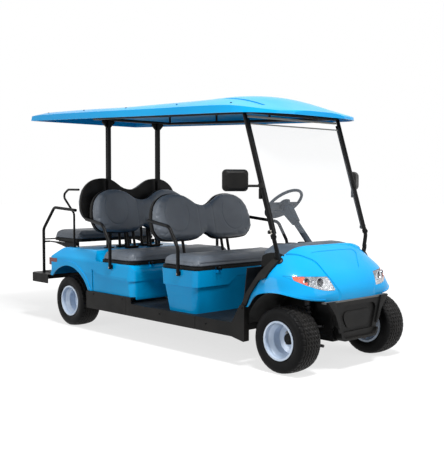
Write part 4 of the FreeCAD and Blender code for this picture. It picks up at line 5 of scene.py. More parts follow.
import bmesh
import bpy
from mathutils import Matrix, Vector
from mathutils.bvhtree import BVHTree


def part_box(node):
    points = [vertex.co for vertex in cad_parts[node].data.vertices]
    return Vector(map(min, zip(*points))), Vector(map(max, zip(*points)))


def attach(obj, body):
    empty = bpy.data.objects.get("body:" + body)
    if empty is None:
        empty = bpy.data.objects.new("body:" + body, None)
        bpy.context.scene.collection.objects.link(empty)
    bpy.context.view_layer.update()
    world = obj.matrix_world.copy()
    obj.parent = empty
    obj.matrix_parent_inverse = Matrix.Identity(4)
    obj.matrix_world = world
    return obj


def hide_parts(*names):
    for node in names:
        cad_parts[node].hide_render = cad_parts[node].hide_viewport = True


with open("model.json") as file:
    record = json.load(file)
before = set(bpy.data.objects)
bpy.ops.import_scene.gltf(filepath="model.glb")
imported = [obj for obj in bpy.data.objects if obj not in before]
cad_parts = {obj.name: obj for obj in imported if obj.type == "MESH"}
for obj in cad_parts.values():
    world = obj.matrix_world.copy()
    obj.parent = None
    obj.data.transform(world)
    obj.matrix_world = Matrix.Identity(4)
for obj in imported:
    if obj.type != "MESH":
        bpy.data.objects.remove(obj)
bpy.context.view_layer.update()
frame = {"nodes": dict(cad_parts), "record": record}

# Camera, solved from the photograph: metres and degrees in the cart's frame
CAMERA_PLACE = (5.1127, -4.5235, 1.2841)
CAMERA_YAW = 43.36
CAMERA_PITCH = 3.11
CAMERA_ROLL = 0.10
FOCAL_PIXELS = 797.65
LONG_SIDE_PIXELS = 456.0
SENSOR_MM = 36.0

# Stage, in metres: the floor's glow rises to full white between two distances from the middle
FLOOR_HALF = 40.0
FLOOR_COLOUR = (150, 150, 150)
FLOOR_GLOW = 0.72
FLOOR_FADE = (2.5, 5.0)
WORLD_LIGHT = 0.36
WHITE_LIGHT = (1, 1, 1, 1)

# Lights: name, place in metres, power in watts and width in metres
LIGHTS = (("key", (3.8, -1.6, 7.6), 640, 1.3), ("fill", (7.0, 2.5, 3.2), 110, 4.0),
          ("side", (-1.0, -8.0, 3.0), 170, 4.0))

# The cart's own frame starts this far behind the front axle, in metres
AXLE_X = 1.4905
SIDES = (-1, 1)
HANDS = (("right", -1), ("left", 1))
UP = Vector((0, 0, 1))
DOWN = Vector((0, 0, -1))

# Wheels, in millimetres
WHEELBASE = 2570
WHEEL_RADIUS = 229
WHEEL_Y = 486

# Colours as seen, 0 to 255
PAINT = ((4, 170, 234), (2, 158, 224))
VINYL = ((98, 105, 114), (88, 95, 104))
BLACK = (0, 0, 0)
PLASTIC_BLACK = (16, 16, 16)
PLASTIC = (PLASTIC_BLACK, (29, 28, 27))
DASH_GREY = ((76, 86, 97), (66, 75, 86))
CAB_GREY = ((58, 66, 76), (50, 58, 67))
FRAME_BLACK = ((5, 5, 6), (11, 11, 12))
DARK_STEEL = ((74, 74, 76), (40, 40, 41))
MOTOR_GREY = ((70, 70, 72), (44, 44, 46))
BATTERY_GREY = ((26, 26, 28), (36, 36, 38))
# The second rubber colour is the lighter tread top: road dust, and painted shade that leaves the grooves
# below black
RUBBER = ((9, 9, 10), (34, 33, 32))
MAT = ((16, 21, 26), (30, 37, 44))
WHEEL_SILVER = ((216, 229, 246), (192, 208, 228))
REFLECTOR = (225, 228, 232)
CHROME = (REFLECTOR, (200, 204, 210))
ZINC = ((176, 172, 164), (140, 136, 128))
MIRROR = ((210, 216, 222), (200, 206, 212))
DARK_GLASS = ((8, 12, 24), (16, 22, 40))
HEADER_CREAM = ((190, 182, 168), (172, 165, 152))
# Painted sheen: the lighter grey of the valance's black top strip, for the light its top catches
STRIP_PAINTED_SHEEN = (104, 104, 102)
AMBER = (250, 84, 10)
LAMP_RED = (128, 8, 8)
LAMP_VEIL = (240, 245, 248)
SCREEN_VEIL = (225, 234, 244)

# Grains: scale of the noise, its detail, strength of the bump and its depth in metres
PAINT_PEEL = (260.0, 2.0, 0.05, 0.0008)
PAINT_WAVES = (2.2, 1.0, 0.10, 0.004)
VINYL_GRAIN = (900.0, 3.0, 0.20, 0.0004)
VINYL_WAVES = (9.0, 2.0, 0.22, 0.004)
PLASTIC_GRAIN = (1500.0, 2.0, 0.45, 0.0005)
PLASTIC_WAVES = (5.0, 2.0, 0.12, 0.003)
GLASS_GRAIN = (60.0, 2.0, 0.45, 0.0003)
POWDER_GRAIN = (420.0, 2.0, 0.25, 0.0006)
BRUSHED_GRAIN = (500.0, 3.0, 0.20, 0.0004)
MAT_GRAIN = (700.0, 3.0, 0.3, 0.0005)
RUBBER_GRAIN = (350.0, 4.0, 0.35, 0.0008)
ENAMEL_GRAIN = (380.0, 2.0, 0.12, 0.0005)
SHEET_WAVES = (1.5, 1.0, 0.03, 0.002)
VINYL_CELLS = 620.0
BRUSH_STRETCH = (1.0, 0.1, 1.0)
PLASTIC_ROUGH = (0.42, 0.58)

# Marks in the materials, in metres, but the lugs' corners, as x and z, and the seams in millimetres
LUG_ACROSS = (0.345, 0.397)
LUG_CORNERS = ((-806, 634), (-1629, 616))
LUG_BEHIND = 0.0125
LUG_SIZE = 0.03
SILL_SEAMS = (-1624, -818)
SEAM_HALF = 0.0022
SEAM_DEPTH = 0.004
DASH_GREY_HALF = 0.432
# Height above which the valance's black top strip is painted lighter grey, a painted sheen
SHEEN_STRIP_LOW = 0.4785
ACROSS, UPWARD = 1, 2
MAT_BAR = 0.011
MAT_BAR_EDGE = (0.002, 0.005)
# Radii over which the tread tops turn lighter: road dust, and painted shade that leaves the grooves below
# them black
TREAD_DUST_AND_SHADE = (0.2205, 0.2245)
WALL_RING = 0.0014


def at(x, y, z):
    """A point given in millimetres from the front axle, as metres in the cart's frame."""
    return Vector((x / 1000 + AXLE_X, y / 1000, z / 1000))


def linear(colour):
    """Scene-linear RGBA of a colour given as 0 to 255 display values."""
    shares = [c / 255 for c in colour]
    return tuple(s / 12.92 if s <= 0.04045 else ((s + 0.055) / 1.055) ** 2.4 for s in shares) + (1.0,)


# Shader building blocks

def new_material(name, rough, metal=0.0, coat=0.0, specular=0.5, coat_rough=0.02):
    material = bpy.data.materials.new(name)
    material.use_nodes = True
    values = {"Roughness": rough, "Metallic": metal, "Coat Weight": coat, "Coat Roughness": coat_rough,
              "Specular IOR Level": specular}
    for key, value in values.items():
        shader_of(material.node_tree).inputs[key].default_value = value
    return material, material.node_tree


def shader_of(tree):
    return tree.nodes["Principled BSDF"]


def add(tree, kind, inputs=None, **settings):
    """A node with its settings and inputs, each a value or another node's output."""
    node = tree.nodes.new(kind)
    for key, value in settings.items():
        setattr(node, key, value)
    for key, value in (inputs or {}).items():
        if isinstance(value, bpy.types.NodeSocket):
            tree.links.new(value, node.inputs[key])
        else:
            node.inputs[key].default_value = value
    return node


def place_of(tree):
    return add(tree, "ShaderNodeTexCoord").outputs["Object"]


def noise(tree, scale, detail=3.0, stretch=None):
    place = place_of(tree)
    if stretch:
        place = add(tree, "ShaderNodeMapping", {"Vector": place, "Scale": stretch}).outputs["Vector"]
    return add(tree, "ShaderNodeTexNoise", {"Vector": place, "Scale": scale, "Detail": detail}).outputs["Fac"]


def levels(tree, value, low, high, to_low=0.0, to_high=1.0):
    bounds = {"Value": value, "From Min": low, "From Max": high, "To Min": to_low, "To Max": to_high}
    return add(tree, "ShaderNodeMapRange", bounds).outputs["Result"]


def tint(tree, factor, first, second):
    """Colours the shader with a mix of two colours, each a display colour or another node's output."""
    first, second = (linear(colour) if isinstance(colour, tuple) else colour for colour in (first, second))
    mix = add(tree, "ShaderNodeMix", {0: factor, 6: first, 7: second}, data_type="RGBA").outputs[2]
    tree.links.new(mix, shader_of(tree).inputs["Base Color"])
    return mix


def maths(tree, operation, *values):
    return add(tree, "ShaderNodeMath", dict(enumerate(values)), operation=operation).outputs[0]


def axes(tree):
    split = add(tree, "ShaderNodeSeparateXYZ", {"Vector": place_of(tree)})
    return split.outputs["X"], split.outputs["Y"], split.outputs["Z"]


def within(tree, value, low, high):
    """1 where a value lies between two bounds."""
    above = maths(tree, "GREATER_THAN", value, low)
    return maths(tree, "MULTIPLY", above, maths(tree, "LESS_THAN", value, high))


def layer(tree, grain, stretch=None):
    """One of the grains, as a layer for relief()."""
    scale, detail, strength, depth = grain
    return noise(tree, scale, detail, stretch), strength, depth


def relief(tree, layers):
    """Bumps laid over each other: (height, strength, distance in metres)."""
    normal = None
    for height, strength, distance in layers:
        bump = add(tree, "ShaderNodeBump", {"Height": height, "Strength": strength, "Distance": distance})
        if normal:
            tree.links.new(normal, bump.inputs["Normal"])
        normal = bump.outputs["Normal"]
    tree.links.new(normal, shader_of(tree).inputs["Normal"])


def roughen(tree, value, low, high, rough):
    tree.links.new(levels(tree, value, low, high, *rough), shader_of(tree).inputs["Roughness"])


def finish(tree, colours, patches, rough, rough_patches):
    """Colour and roughness that vary a little in patches, whose scales are the noise's."""
    colour = tint(tree, levels(tree, noise(tree, patches), 0.35, 0.65), *colours)
    roughen(tree, noise(tree, rough_patches), 0.3, 0.7, rough)
    return colour


# Materials

def paint():
    """Gloss paint; the two hinge lugs at the front of each seat base are black."""
    material, tree = new_material("body_paint", 0.32, coat=0.3, specular=0.06, coat_rough=0.07)
    colour = finish(tree, PAINT, 1.4, (0.28, 0.38), 3.0)
    x, y, z = axes(tree)
    across = within(tree, maths(tree, "ABSOLUTE", y), *LUG_ACROSS)
    lugs = None
    for front, low in LUG_CORNERS:
        spot = at(front, 0, low)
        along = within(tree, x, spot.x - LUG_BEHIND, spot.x + LUG_SIZE)
        here = maths(tree, "MULTIPLY", along, within(tree, z, spot.z, spot.z + LUG_SIZE))
        here = maths(tree, "MULTIPLY", here, across)
        lugs = maths(tree, "ADD", lugs, here) if lugs else here
    tint(tree, lugs, colour, PLASTIC_BLACK)
    relief(tree, [layer(tree, PAINT_PEEL), layer(tree, PAINT_WAVES)])
    return material


def vinyl():
    material, tree = new_material("seat_vinyl", 0.45, specular=0.45)
    finish(tree, VINYL, 5.0, (0.40, 0.54), 9.0)
    cells = add(tree, "ShaderNodeTexVoronoi", {"Vector": place_of(tree), "Scale": VINYL_CELLS})
    pores = (cells.outputs["Distance"], 0.30, 0.0006)
    relief(tree, [pores, layer(tree, VINYL_GRAIN), layer(tree, VINYL_WAVES)])
    return material


def moulded(name, colours, rough, grain=PLASTIC_GRAIN, seams=()):
    """Grained plastic; seams are places along the cart, in millimetres, where two mouldings meet."""
    material, tree = new_material(name, sum(rough) / 2, specular=0.14)
    colour = finish(tree, colours, 7.0, rough, 14.0)
    layers = [layer(tree, grain), layer(tree, PLASTIC_WAVES)]
    x, _, _ = axes(tree)
    for place in seams:
        seam = at(place, 0, 0).x
        line = within(tree, x, seam - SEAM_HALF, seam + SEAM_HALF)
        colour = tint(tree, line, colour, BLACK)
        layers.append((maths(tree, "SUBTRACT", 1.0, line), 1.0, SEAM_DEPTH))
    relief(tree, layers)
    return material


def banded(name, colours, axis, bound, beyond):
    """Grained plastic that takes another colour past a bound on one axis, on both sides for ACROSS."""
    material = moulded(name, colours, PLASTIC_ROUGH)
    tree = material.node_tree
    near = shader_of(tree).inputs["Base Color"].links[0].from_socket
    past = maths(tree, "GREATER_THAN", maths(tree, "ABSOLUTE", axes(tree)[axis]), bound)
    tint(tree, past, near, beyond)
    return material


def powder_coat():
    material, tree = new_material("frame_steel", 0.35, specular=0.12)
    finish(tree, FRAME_BLACK, 6.0, (0.30, 0.42), 10.0)
    relief(tree, [layer(tree, POWDER_GRAIN)])
    return material


def steel(name, colours, rough, metal=0.9):
    """Bare metal, brushed along the cart's width."""
    material, tree = new_material(name, sum(rough) / 2, metal=metal)
    finish(tree, colours, 16.0, rough, 30.0)
    relief(tree, [layer(tree, BRUSHED_GRAIN, BRUSH_STRETCH)])
    return material


def floor_mat():
    """Rubber mat with raised bars across the cart and a fine grain."""
    material, tree = new_material("floor_rubber", 0.6, specular=0.15)
    x, _, _ = axes(tree)
    bars = levels(tree, maths(tree, "PINGPONG", x, MAT_BAR), *MAT_BAR_EDGE)
    # Patches in which the raised bars take the lighter colour and the roughness changes
    lighter_patches = levels(tree, noise(tree, 4.0), 0.3, 0.7)
    tint(tree, maths(tree, "MULTIPLY", bars, lighter_patches), *MAT)
    roughen(tree, lighter_patches, 0.0, 1.0, (0.5, 0.68))
    relief(tree, [(bars, 0.8, 0.002), layer(tree, MAT_GRAIN)])
    return material


def tyre_rubber():
    """Black rubber, lighter with road dust on the tread tops and with painted shade keeping the grooves below
    them black, and fine rings on the walls.
    """
    material, tree = new_material("tyre_rubber", 0.5, specular=0.10)
    x, y, z = axes(tree)
    axles = (AXLE_X, AXLE_X - WHEELBASE / 1000)
    spans = [maths(tree, "ABSOLUTE", maths(tree, "SUBTRACT", x, axle)) for axle in axles]
    along = maths(tree, "MINIMUM", *spans)
    rise = maths(tree, "SUBTRACT", z, WHEEL_RADIUS / 1000)
    squares = [maths(tree, "MULTIPLY", part, part) for part in (along, rise)]
    radius = maths(tree, "SQRT", maths(tree, "ADD", *squares))
    patches = levels(tree, noise(tree, 26.0, 5.0), 0.35, 0.70, 0.25, 1.0)
    # Tread tops lighter with road dust, and grooves kept black as painted shade
    lighter_patches = maths(tree, "MULTIPLY", levels(tree, radius, *TREAD_DUST_AND_SHADE), patches)
    tint(tree, lighter_patches, *RUBBER)
    roughen(tree, noise(tree, 15.0), 0.3, 0.7, (0.36, 0.56))
    rings = levels(tree, maths(tree, "PINGPONG", maths(tree, "ABSOLUTE", y), WALL_RING), 0.0, WALL_RING)
    relief(tree, [(rings, 0.12, 0.0006), layer(tree, RUBBER_GRAIN)])
    return material


def enamel():
    """Silver-white enamel, greyer in patches."""
    material, tree = new_material("wheel_silver", 0.34, metal=0.15, coat=0.35)
    finish(tree, WHEEL_SILVER, 9.0, (0.28, 0.44), 18.0)
    relief(tree, [layer(tree, ENAMEL_GRAIN)])
    return material


def clear(name, colour, alpha):
    """Clear sheet: a faint veil over what lies behind it, with a gloss."""
    material, tree = new_material(name, 0.03, coat=1.0)
    streaks = levels(tree, noise(tree, 3.0, 2.0), 0.3, 0.7)
    tint(tree, streaks, colour, tuple(c - 5 for c in colour))
    shader_of(tree).inputs["Alpha"].default_value = alpha
    relief(tree, [layer(tree, SHEET_WAVES)])
    return material


def ribbed_lens(name, colour, glow, pitch, metal=0.0):
    """Coloured lens or faceted reflector: fine ribs both ways over a bright body that glows faintly, a
    painted glow for the light it throws back; pitch in metres.
    """
    material, tree = new_material(name, 0.12, metal=metal, coat=0.3, specular=0.3)
    _, y, z = axes(tree)
    high = pitch * 1.5
    upright = levels(tree, maths(tree, "PINGPONG", y, pitch), 0.0, pitch)
    lying = levels(tree, maths(tree, "PINGPONG", z, high), 0.0, high, 0.0, 0.6)
    ribs = maths(tree, "ADD", upright, lying)
    tint(tree, levels(tree, noise(tree, 60.0), 0.3, 0.7), colour, tuple(c * 0.72 for c in colour))
    # Painted glow: the lens or reflector glows faintly though no lamp in it is lit
    shader_of(tree).inputs["Emission Color"].default_value = linear(colour)
    shader_of(tree).inputs["Emission Strength"].default_value = glow
    relief(tree, [(ribs, 0.6, 0.003)])
    return material


LOOKS = {
    "body_paint": paint(),
    "seat_vinyl": vinyl(),
    "black_plastic": moulded("black_plastic", PLASTIC, PLASTIC_ROUGH),
    "dash_plastic": banded("dash_plastic", DASH_GREY, ACROSS, DASH_GREY_HALF, PLASTIC_BLACK),
    # The valance's black top strip takes a painted sheen of lighter grey
    "valance_plastic": banded("valance_plastic", PLASTIC, UPWARD, SHEEN_STRIP_LOW, STRIP_PAINTED_SHEEN),
    "frame_steel": powder_coat(),
    "bare_steel": steel("bare_steel", DARK_STEEL, (0.40, 0.62)),
    "motor_case": steel("motor_case", MOTOR_GREY, (0.42, 0.6), metal=0.7),
    "battery_case": moulded("battery_case", BATTERY_GREY, (0.45, 0.6)),
    "floor_rubber": floor_mat(),
    "lamp_clear": clear("lamp_clear", LAMP_VEIL, alpha=0.06),
    # The red and amber lenses and the bowls' reflector glow faintly: a painted glow, not lit lamps
    "lamp_red": ribbed_lens("lamp_red", LAMP_RED, glow=0.02, pitch=0.004),
    "screen_glass": clear("screen_glass", SCREEN_VEIL, alpha=0.045),
    "tyre_rubber": tyre_rubber(),
    "wheel_silver": enamel(),
    "reflector": ribbed_lens("reflector", REFLECTOR, glow=0.08, pitch=0.006, metal=0.85),
    "chrome": steel("chrome", CHROME, (0.08, 0.2), metal=1.0),
    "zinc": steel("zinc", ZINC, (0.25, 0.42)),
    "amber": ribbed_lens("amber", AMBER, glow=0.12, pitch=0.004),
    "sill_plastic": moulded("sill_plastic", PLASTIC, PLASTIC_ROUGH, seams=SILL_SEAMS),
    "cab_plastic": moulded("cab_plastic", CAB_GREY, PLASTIC_ROUGH),
    "lens_dark": moulded("lens_dark", DARK_GLASS, (0.05, 0.12), GLASS_GRAIN),
    "header": moulded("header", HEADER_CREAM, (0.4, 0.55)),
    "mirror": steel("mirror", MIRROR, (0.02, 0.05), metal=1.0),
}

# Solids that take a look of their own and not their slot's
OWN_LOOKS = {"side_sills": "sill_plastic", "front_valance": "valance_plastic",
             "steering_wheel": "cab_plastic", "steering_column": "cab_plastic"}


# Mesh helpers

MERGE = 0.0001
ABOVE_ALL = 3000
BEYOND_ALL = 1500


def new_object(name, data):
    obj = bpy.data.objects.new(name, data)
    bpy.context.scene.collection.objects.link(obj)
    return obj


def piece(name, bm, look, body="chassis", sharp=38):
    """A new object from a bmesh, with its look, riding on a body of the cart."""
    mesh = bpy.data.meshes.new(name)
    bmesh.ops.recalc_face_normals(bm, faces=bm.faces)
    bm.to_mesh(mesh)
    bm.free()
    mesh.materials.append(LOOKS[look])
    mesh.shade_smooth()
    mesh.set_sharp_from_angle(angle=math.radians(sharp))
    obj = new_object(name, mesh)
    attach(obj, body)
    return obj


def both_sides(name, make, look, sharp=38):
    """A piece of the chassis whose mesh is made by make(bm, side), once for each side."""
    bm = bmesh.new()
    for side in SIDES:
        make(bm, side)
    piece(name, bm, look, sharp=sharp)


def frames_along(points):
    """Each point with a side and an up direction that turn as little as they can."""
    made = []
    up = None
    for i, point in enumerate(points):
        before = points[max(i - 1, 0)]
        after = points[min(i + 1, len(points) - 1)]
        along = (after - before).normalized()
        if up is None:
            up = UP if abs(along.z) < 0.9 else Vector((0, 1, 0))
        side = along.cross(up).normalized()
        up = side.cross(along).normalized()
        made.append((point, side, up))
    return made


def join_rings(bm, first, second):
    """Faces between two rings of as many points."""
    for i in range(len(first)):
        j = (i + 1) % len(first)
        bm.faces.new((first[i], first[j], second[j], second[i]))


def loft(bm, sections):
    """A skin through outlines of as many points each, closed at both ends."""
    rings = [[bm.verts.new(point) for point in section] for section in sections]
    for first, second in zip(rings, rings[1:]):
        join_rings(bm, first, second)
    bm.faces.new(rings[0])
    bm.faces.new(rings[-1])


def sweep(bm, points, section):
    """A section of (side, up) pairs pushed along points."""
    loft(bm, [[point + side * a + up * b for a, b in section] for point, side, up in frames_along(points)])


def circle(radius, sides):
    turns = [2 * math.pi * i / sides for i in range(sides)]
    return [(radius * math.cos(turn), radius * math.sin(turn)) for turn in turns]


def lathe(bm, base, axis, profile, sides):
    """A profile of (radius, height) pairs turned about an axis; a radius of zero closes an end."""
    axis = axis.normalized()
    side = axis.orthogonal().normalized()
    up = axis.cross(side)
    rings = []
    for radius, height in profile:
        if radius == 0:
            rings.append([bm.verts.new(base + axis * height)])
            continue
        ring = []
        for a, b in circle(radius, sides):
            ring.append(bm.verts.new(base + axis * height + side * a + up * b))
        rings.append(ring)
    for first, second in zip(rings, rings[1:]):
        for i in range(sides):
            j = (i + 1) % sides
            loop = [ring[k % len(ring)] for ring, k in ((first, i), (first, j), (second, j), (second, i))]
            bm.faces.new(list(dict.fromkeys(loop)))


def slab(bm, corners, push, bevel=0.0):
    """A flat outline of points pushed along a vector, its edges rounded by a bevel."""
    near = [bm.verts.new(c) for c in corners]
    far = [bm.verts.new(c + push) for c in corners]
    faces = [bm.faces.new(near), bm.faces.new(far)]
    for i in range(len(corners)):
        j = (i + 1) % len(corners)
        faces.append(bm.faces.new((near[i], near[j], far[j], far[i])))
    if bevel > 0:
        edges = list(dict.fromkeys(edge for face in faces for edge in face.edges))
        bmesh.ops.bevel(bm, geom=edges, offset=bevel, segments=3, affect="EDGES", profile=0.5)


def brick(bm, low, high, bevel):
    """A box between two corners given in millimetres from the front axle, with rounded edges."""
    (x0, y0, z0), (x1, y1, z1) = low, high
    corners = [at(x0, y0, z0), at(x1, y0, z0), at(x1, y1, z0), at(x0, y1, z0)]
    slab(bm, corners, Vector((0, 0, (z1 - z0) / 1000)), bevel / 1000)


def screw(bm, spot, normal, radius):
    """A pan head with a sunk hexagonal socket."""
    high = radius * 0.55
    socket = radius * 0.42
    lathe(bm, spot, normal, [(radius, 0), (radius, high * 0.5), (radius * 0.82, high), (socket, high)], 20)
    lathe(bm, spot, normal, [(socket, high), (radius * 0.38, high * 0.35), (0, high * 0.35)], 6)


TREES = {}


def hit(node, start, toward):
    """Where a ray first meets a CAD node, and the surface's direction there."""
    if node not in TREES:
        mesh = frame["nodes"][node].data
        TREES[node] = BVHTree.FromPolygons([v.co for v in mesh.vertices], [p.vertices for p in mesh.polygons])
    place, normal, _, _ = TREES[node].ray_cast(start, toward)
    if place is None:
        raise ValueError("the ray misses " + node)
    if normal.dot(toward) > 0:
        normal = -normal
    return place, normal


def from_above(node, x, y):
    return hit(node, at(x, y, ABOVE_ALL), DOWN)


def from_side(node, x, side, z):
    return hit(node, at(x, side * BEYOND_ALL, z), Vector((0, -side, 0)))


def evaluated(obj):
    depsgraph = bpy.context.evaluated_depsgraph_get()
    return bpy.data.meshes.new_from_object(obj.evaluated_get(depsgraph))


def swap_mesh(obj, mesh):
    old = obj.data
    obj.modifiers.clear()
    obj.data = mesh
    bpy.data.meshes.remove(old)


# Seat pads, in metres. A sewn line is (half its width, its depth)

VOXEL = 0.011
RELAX_STEPS = 5
FRAMES = 20
AIR_PRESSURE = 4.0
SEWN_LINE = (0.008, 0.0032)

# Cushions: the edges roll down, and lines run near the edges, beside the middle and round the sides
ROLL_WIDE = 0.105
ROLL_DROP = 0.36
CUSHION_START = 0.95
CUSHION_TAPER = 0.012
CUSHION_PINNED = 0.012
CUSHION_CAP = 0.012
EDGE_LINE_IN = 0.062
MIDDLE_LINE_Y = 0.075
MIDDLE_LINE_END = 0.07
SIDE_LINE = (0.006, 0.0016)
SIDE_LINE_RISE = 0.026
SIDE_FOOT = 0.006
FOOT_GAP = 0.0006

# Back pads: two lobes, and in each a sewn ring open at the top. Pairs are a middle and a half size
BACK_DEPTH = 0.062
BACK_THIN = 0.0004
BACK_START = 0.90
BACK_FALL = 0.30
BACK_PINNED = 0.010
BACK_CAP = 0.010
LOBE_Y = (0.29, 0.26)
LOBE_RISE = (0.195, 0.20)
RING_Y = (0.315, 0.125)
RING_RISE = (0.215, 0.150)
RING_RADIUS = 0.135
RING_OPEN = 0.62
RING_LINE = (0.009, 0.0042)
WAIST_LINE_Y = 0.082

# Nodes, their pieces and their bodies; for a back pad its foot in millimetres, lean in degrees and facing
CUSHIONS = (("cushion_front", "front_seat_pad", "front_bench"),
            ("cushion_middle", "middle_seat_pad", "middle_bench"),
            ("cushion_rear", "rear_seat_pad", "rear_bench"))
BACKRESTS = (("backrest_front", "front_back_pad", (-1374, 0, 826), 13.4, 1),
             ("backrest_middle", "middle_back_pad", (-2222, 0, 856), 11.0, 1),
             ("backrest_rear", "rear_back_pad", (-2428, 0, 946), 5.0, -1))


def voxel_copy(node, name):
    """A copy of a CAD node in small even faces, relaxed, so that cloth can swell it."""
    obj = new_object(name, frame["nodes"][node].data.copy())
    bm = bmesh.new()
    bm.from_mesh(obj.data)
    bmesh.ops.remove_doubles(bm, verts=bm.verts, dist=MERGE)
    bm.to_mesh(obj.data)
    bm.free()
    remesh = obj.modifiers.new("remesh", "REMESH")
    remesh.mode = "VOXEL"
    remesh.voxel_size = VOXEL
    swap_mesh(obj, evaluated(obj))
    relax = obj.modifiers.new("relax", "SMOOTH")
    relax.factor = 0.5
    relax.iterations = RELAX_STEPS
    swap_mesh(obj, evaluated(obj))
    return obj


def inflate(obj, pinned, cap):
    """Cloth with air in it swells the pad, its pinned points held and each point's way capped."""
    start = [v.co.copy() for v in obj.data.vertices]
    group = obj.vertex_groups.new(name="pinned")
    group.add([i for i, co in enumerate(start) if pinned(co)], 1.0, "REPLACE")
    cloth = obj.modifiers.new("cloth", "CLOTH")
    cloth.settings.use_pressure = True
    cloth.settings.uniform_pressure_force = AIR_PRESSURE
    cloth.settings.vertex_group_mass = "pinned"
    cloth.settings.effector_weights.gravity = 0.0
    cloth.point_cache.frame_start = 1
    cloth.point_cache.frame_end = FRAMES
    for number in range(1, FRAMES + 1):
        bpy.context.scene.frame_set(number)
    swap_mesh(obj, evaluated(obj))
    bpy.context.scene.frame_set(1)
    for vertex, was in zip(obj.data.vertices, start):
        way = vertex.co - was
        if way.length > cap:
            vertex.co = was + way * (cap / way.length)
    obj.vertex_groups.clear()


def with_normals(obj):
    return list(zip(obj.data.vertices, [v.normal.copy() for v in obj.data.vertices]))


def refine(obj):
    divide = obj.modifiers.new("divide", "SUBSURF")
    divide.levels = 1
    swap_mesh(obj, evaluated(obj))
    obj.data.shade_smooth()


def soft_cap(height, top):
    """A height that bends over smoothly to stay under a top."""
    knee = top * 0.8
    return height if height < knee else knee + (top - knee) * (1 - math.exp((knee - height) / (top - knee)))


def groove(distance, line):
    """Depth of a sewn line at a distance from its middle."""
    half_width, depth = line
    share = abs(distance) / half_width
    return depth * (1 - share * share) ** 2 if share < 1 else 0.0


def cushion(node, name, body):
    """A seat pad: crowned, its edges rolled down, with sewn lines on its top and round its sides."""
    low, high = (Vector(c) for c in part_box(node))
    obj = voxel_copy(node, name)
    middle = (low + high) / 2
    half = (high - low) / 2
    for vertex in obj.data.vertices:
        co = vertex.co
        gap = min(half.x - abs(co.x - middle.x), half.y - abs(co.y - middle.y))
        rolled = max(0.0, 1 - gap / ROLL_WIDE)
        share = (co.z - low.z) / (high.z - low.z)
        co.z = low.z + (co.z - low.z) * (1 - ROLL_DROP * rolled ** 2 * share) * CUSHION_START
        co.y = middle.y + (co.y - middle.y) * (1 - CUSHION_TAPER * share)
    inflate(obj, lambda co: co.z < low.z + CUSHION_PINNED, CUSHION_CAP)
    refine(obj)
    for vertex in obj.data.vertices:
        vertex.co.z = low.z + soft_cap(vertex.co.z - low.z, high.z - low.z)
    for vertex, normal in with_normals(obj):
        co = vertex.co
        gap = min(half.x - abs(co.x - middle.x), half.y - abs(co.y - middle.y))
        sunk = 0.0
        if normal.z > 0.3:
            sunk = groove(gap - EDGE_LINE_IN, SEWN_LINE) if co.z > middle.z else 0.0
            if gap > MIDDLE_LINE_END:
                sunk = max(sunk, groove(abs(co.y - middle.y) - MIDDLE_LINE_Y, SEWN_LINE))
        elif co.z > low.z + SIDE_FOOT:
            sunk = groove(co.z - low.z - SIDE_LINE_RISE, SIDE_LINE)
        co -= normal * sunk
        co.z = min(max(co.z, low.z + FOOT_GAP), high.z)
        co.x = min(max(co.x, low.x), high.x)
        co.y = min(max(co.y, low.y), high.y)
    dress_soft(obj, node, body)


def backrest(node, name, foot, lean, facing):
    """A twin-lobed back pad, crowned in front, with a sewn ring in each lobe and lines by the waist."""
    obj = voxel_copy(node, name)
    base = at(*foot)
    turn = math.radians(lean)
    up = Vector((-math.sin(turn), 0, math.cos(turn)))
    out = Vector((math.cos(turn), 0, math.sin(turn))) * facing
    for vertex in obj.data.vertices:
        co = vertex.co
        away = (co - base).dot(out)
        rise = (co - base).dot(up)
        across = abs(abs(co.y) - LOBE_Y[0]) / LOBE_Y[1]
        middle = abs(rise - LOBE_RISE[0]) / LOBE_RISE[1]
        crown = max(0.0, 1 - 0.5 * across ** 2.4) * max(0.0, 1 - 0.35 * middle ** 3)
        co -= out * (away * (1 - BACK_START * (1 - BACK_FALL * (1 - crown))))
    inflate(obj, lambda co: (co - base).dot(out) < BACK_PINNED, BACK_CAP)
    refine(obj)
    for vertex in obj.data.vertices:
        away = (vertex.co - base).dot(out)
        vertex.co += out * (soft_cap(max(away, BACK_THIN), BACK_DEPTH) - away)
    for vertex, normal in with_normals(obj):
        co = vertex.co
        rise = (co - base).dot(up)
        if normal.dot(out) > 0.35:
            wide = (abs(co.y) - RING_Y[0]) / RING_Y[1]
            tall = (rise - RING_RISE[0]) / RING_RISE[1]
            ring = (math.hypot(wide, tall) - 1) * RING_RADIUS
            sunk = groove(ring, RING_LINE) if tall < RING_OPEN else 0.0
            sunk = max(sunk, groove(abs(co.y) - WAIST_LINE_Y, SEWN_LINE))
            co -= normal * sunk
    dress_soft(obj, node, "chassis")


def dress_soft(obj, node, body):
    obj.data.materials.clear()
    obj.data.materials.append(LOOKS["seat_vinyl"])
    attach(obj, body)
    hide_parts(node)


def make_seats():
    for node, name, body in CUSHIONS:
        cushion(node, name, body)
    for node, name, foot, lean, facing in BACKRESTS:
        backrest(node, name, foot, lean, facing)


# Tyres. The wall runs from the bead to the tread: distance across and radius, in millimetres

TYRE_WALL = ((89, 128), (90.5, 136), (96, 149), (100.5, 164), (102.4, 180), (101.6, 194), (98.4, 206),
             (93, 215), (88, 220))

# The tread, in metres. Its grooves: distance from the middle, half their width and share of the zigzag
TREAD_HALF = 0.084
TREAD_RADIUS = 0.2289
TREAD_DROP = 0.0075
TREAD_STEPS = 60
AROUND = 288
CUT_RADIUS = 0.218
TREAD_GROOVES = ((0.0145, 0.0050, 1.0), (0.0415, 0.0050, 1.0), (0.064, 0.0030, 0.5))
GROOVE_DEPTH = 0.0065
ZIGZAG = 0.011
WAVES = 48
SHOULDER = 0.066
SHOULDER_SLOTS = 33
SLOT_DEPTH = 0.0045
SIPE_DEPTH = 0.0010


def wall_profile(side):
    """One wall of a tyre as (place across, radius), in metres."""
    return [(side * y / 1000, r / 1000) for y, r in TYRE_WALL]


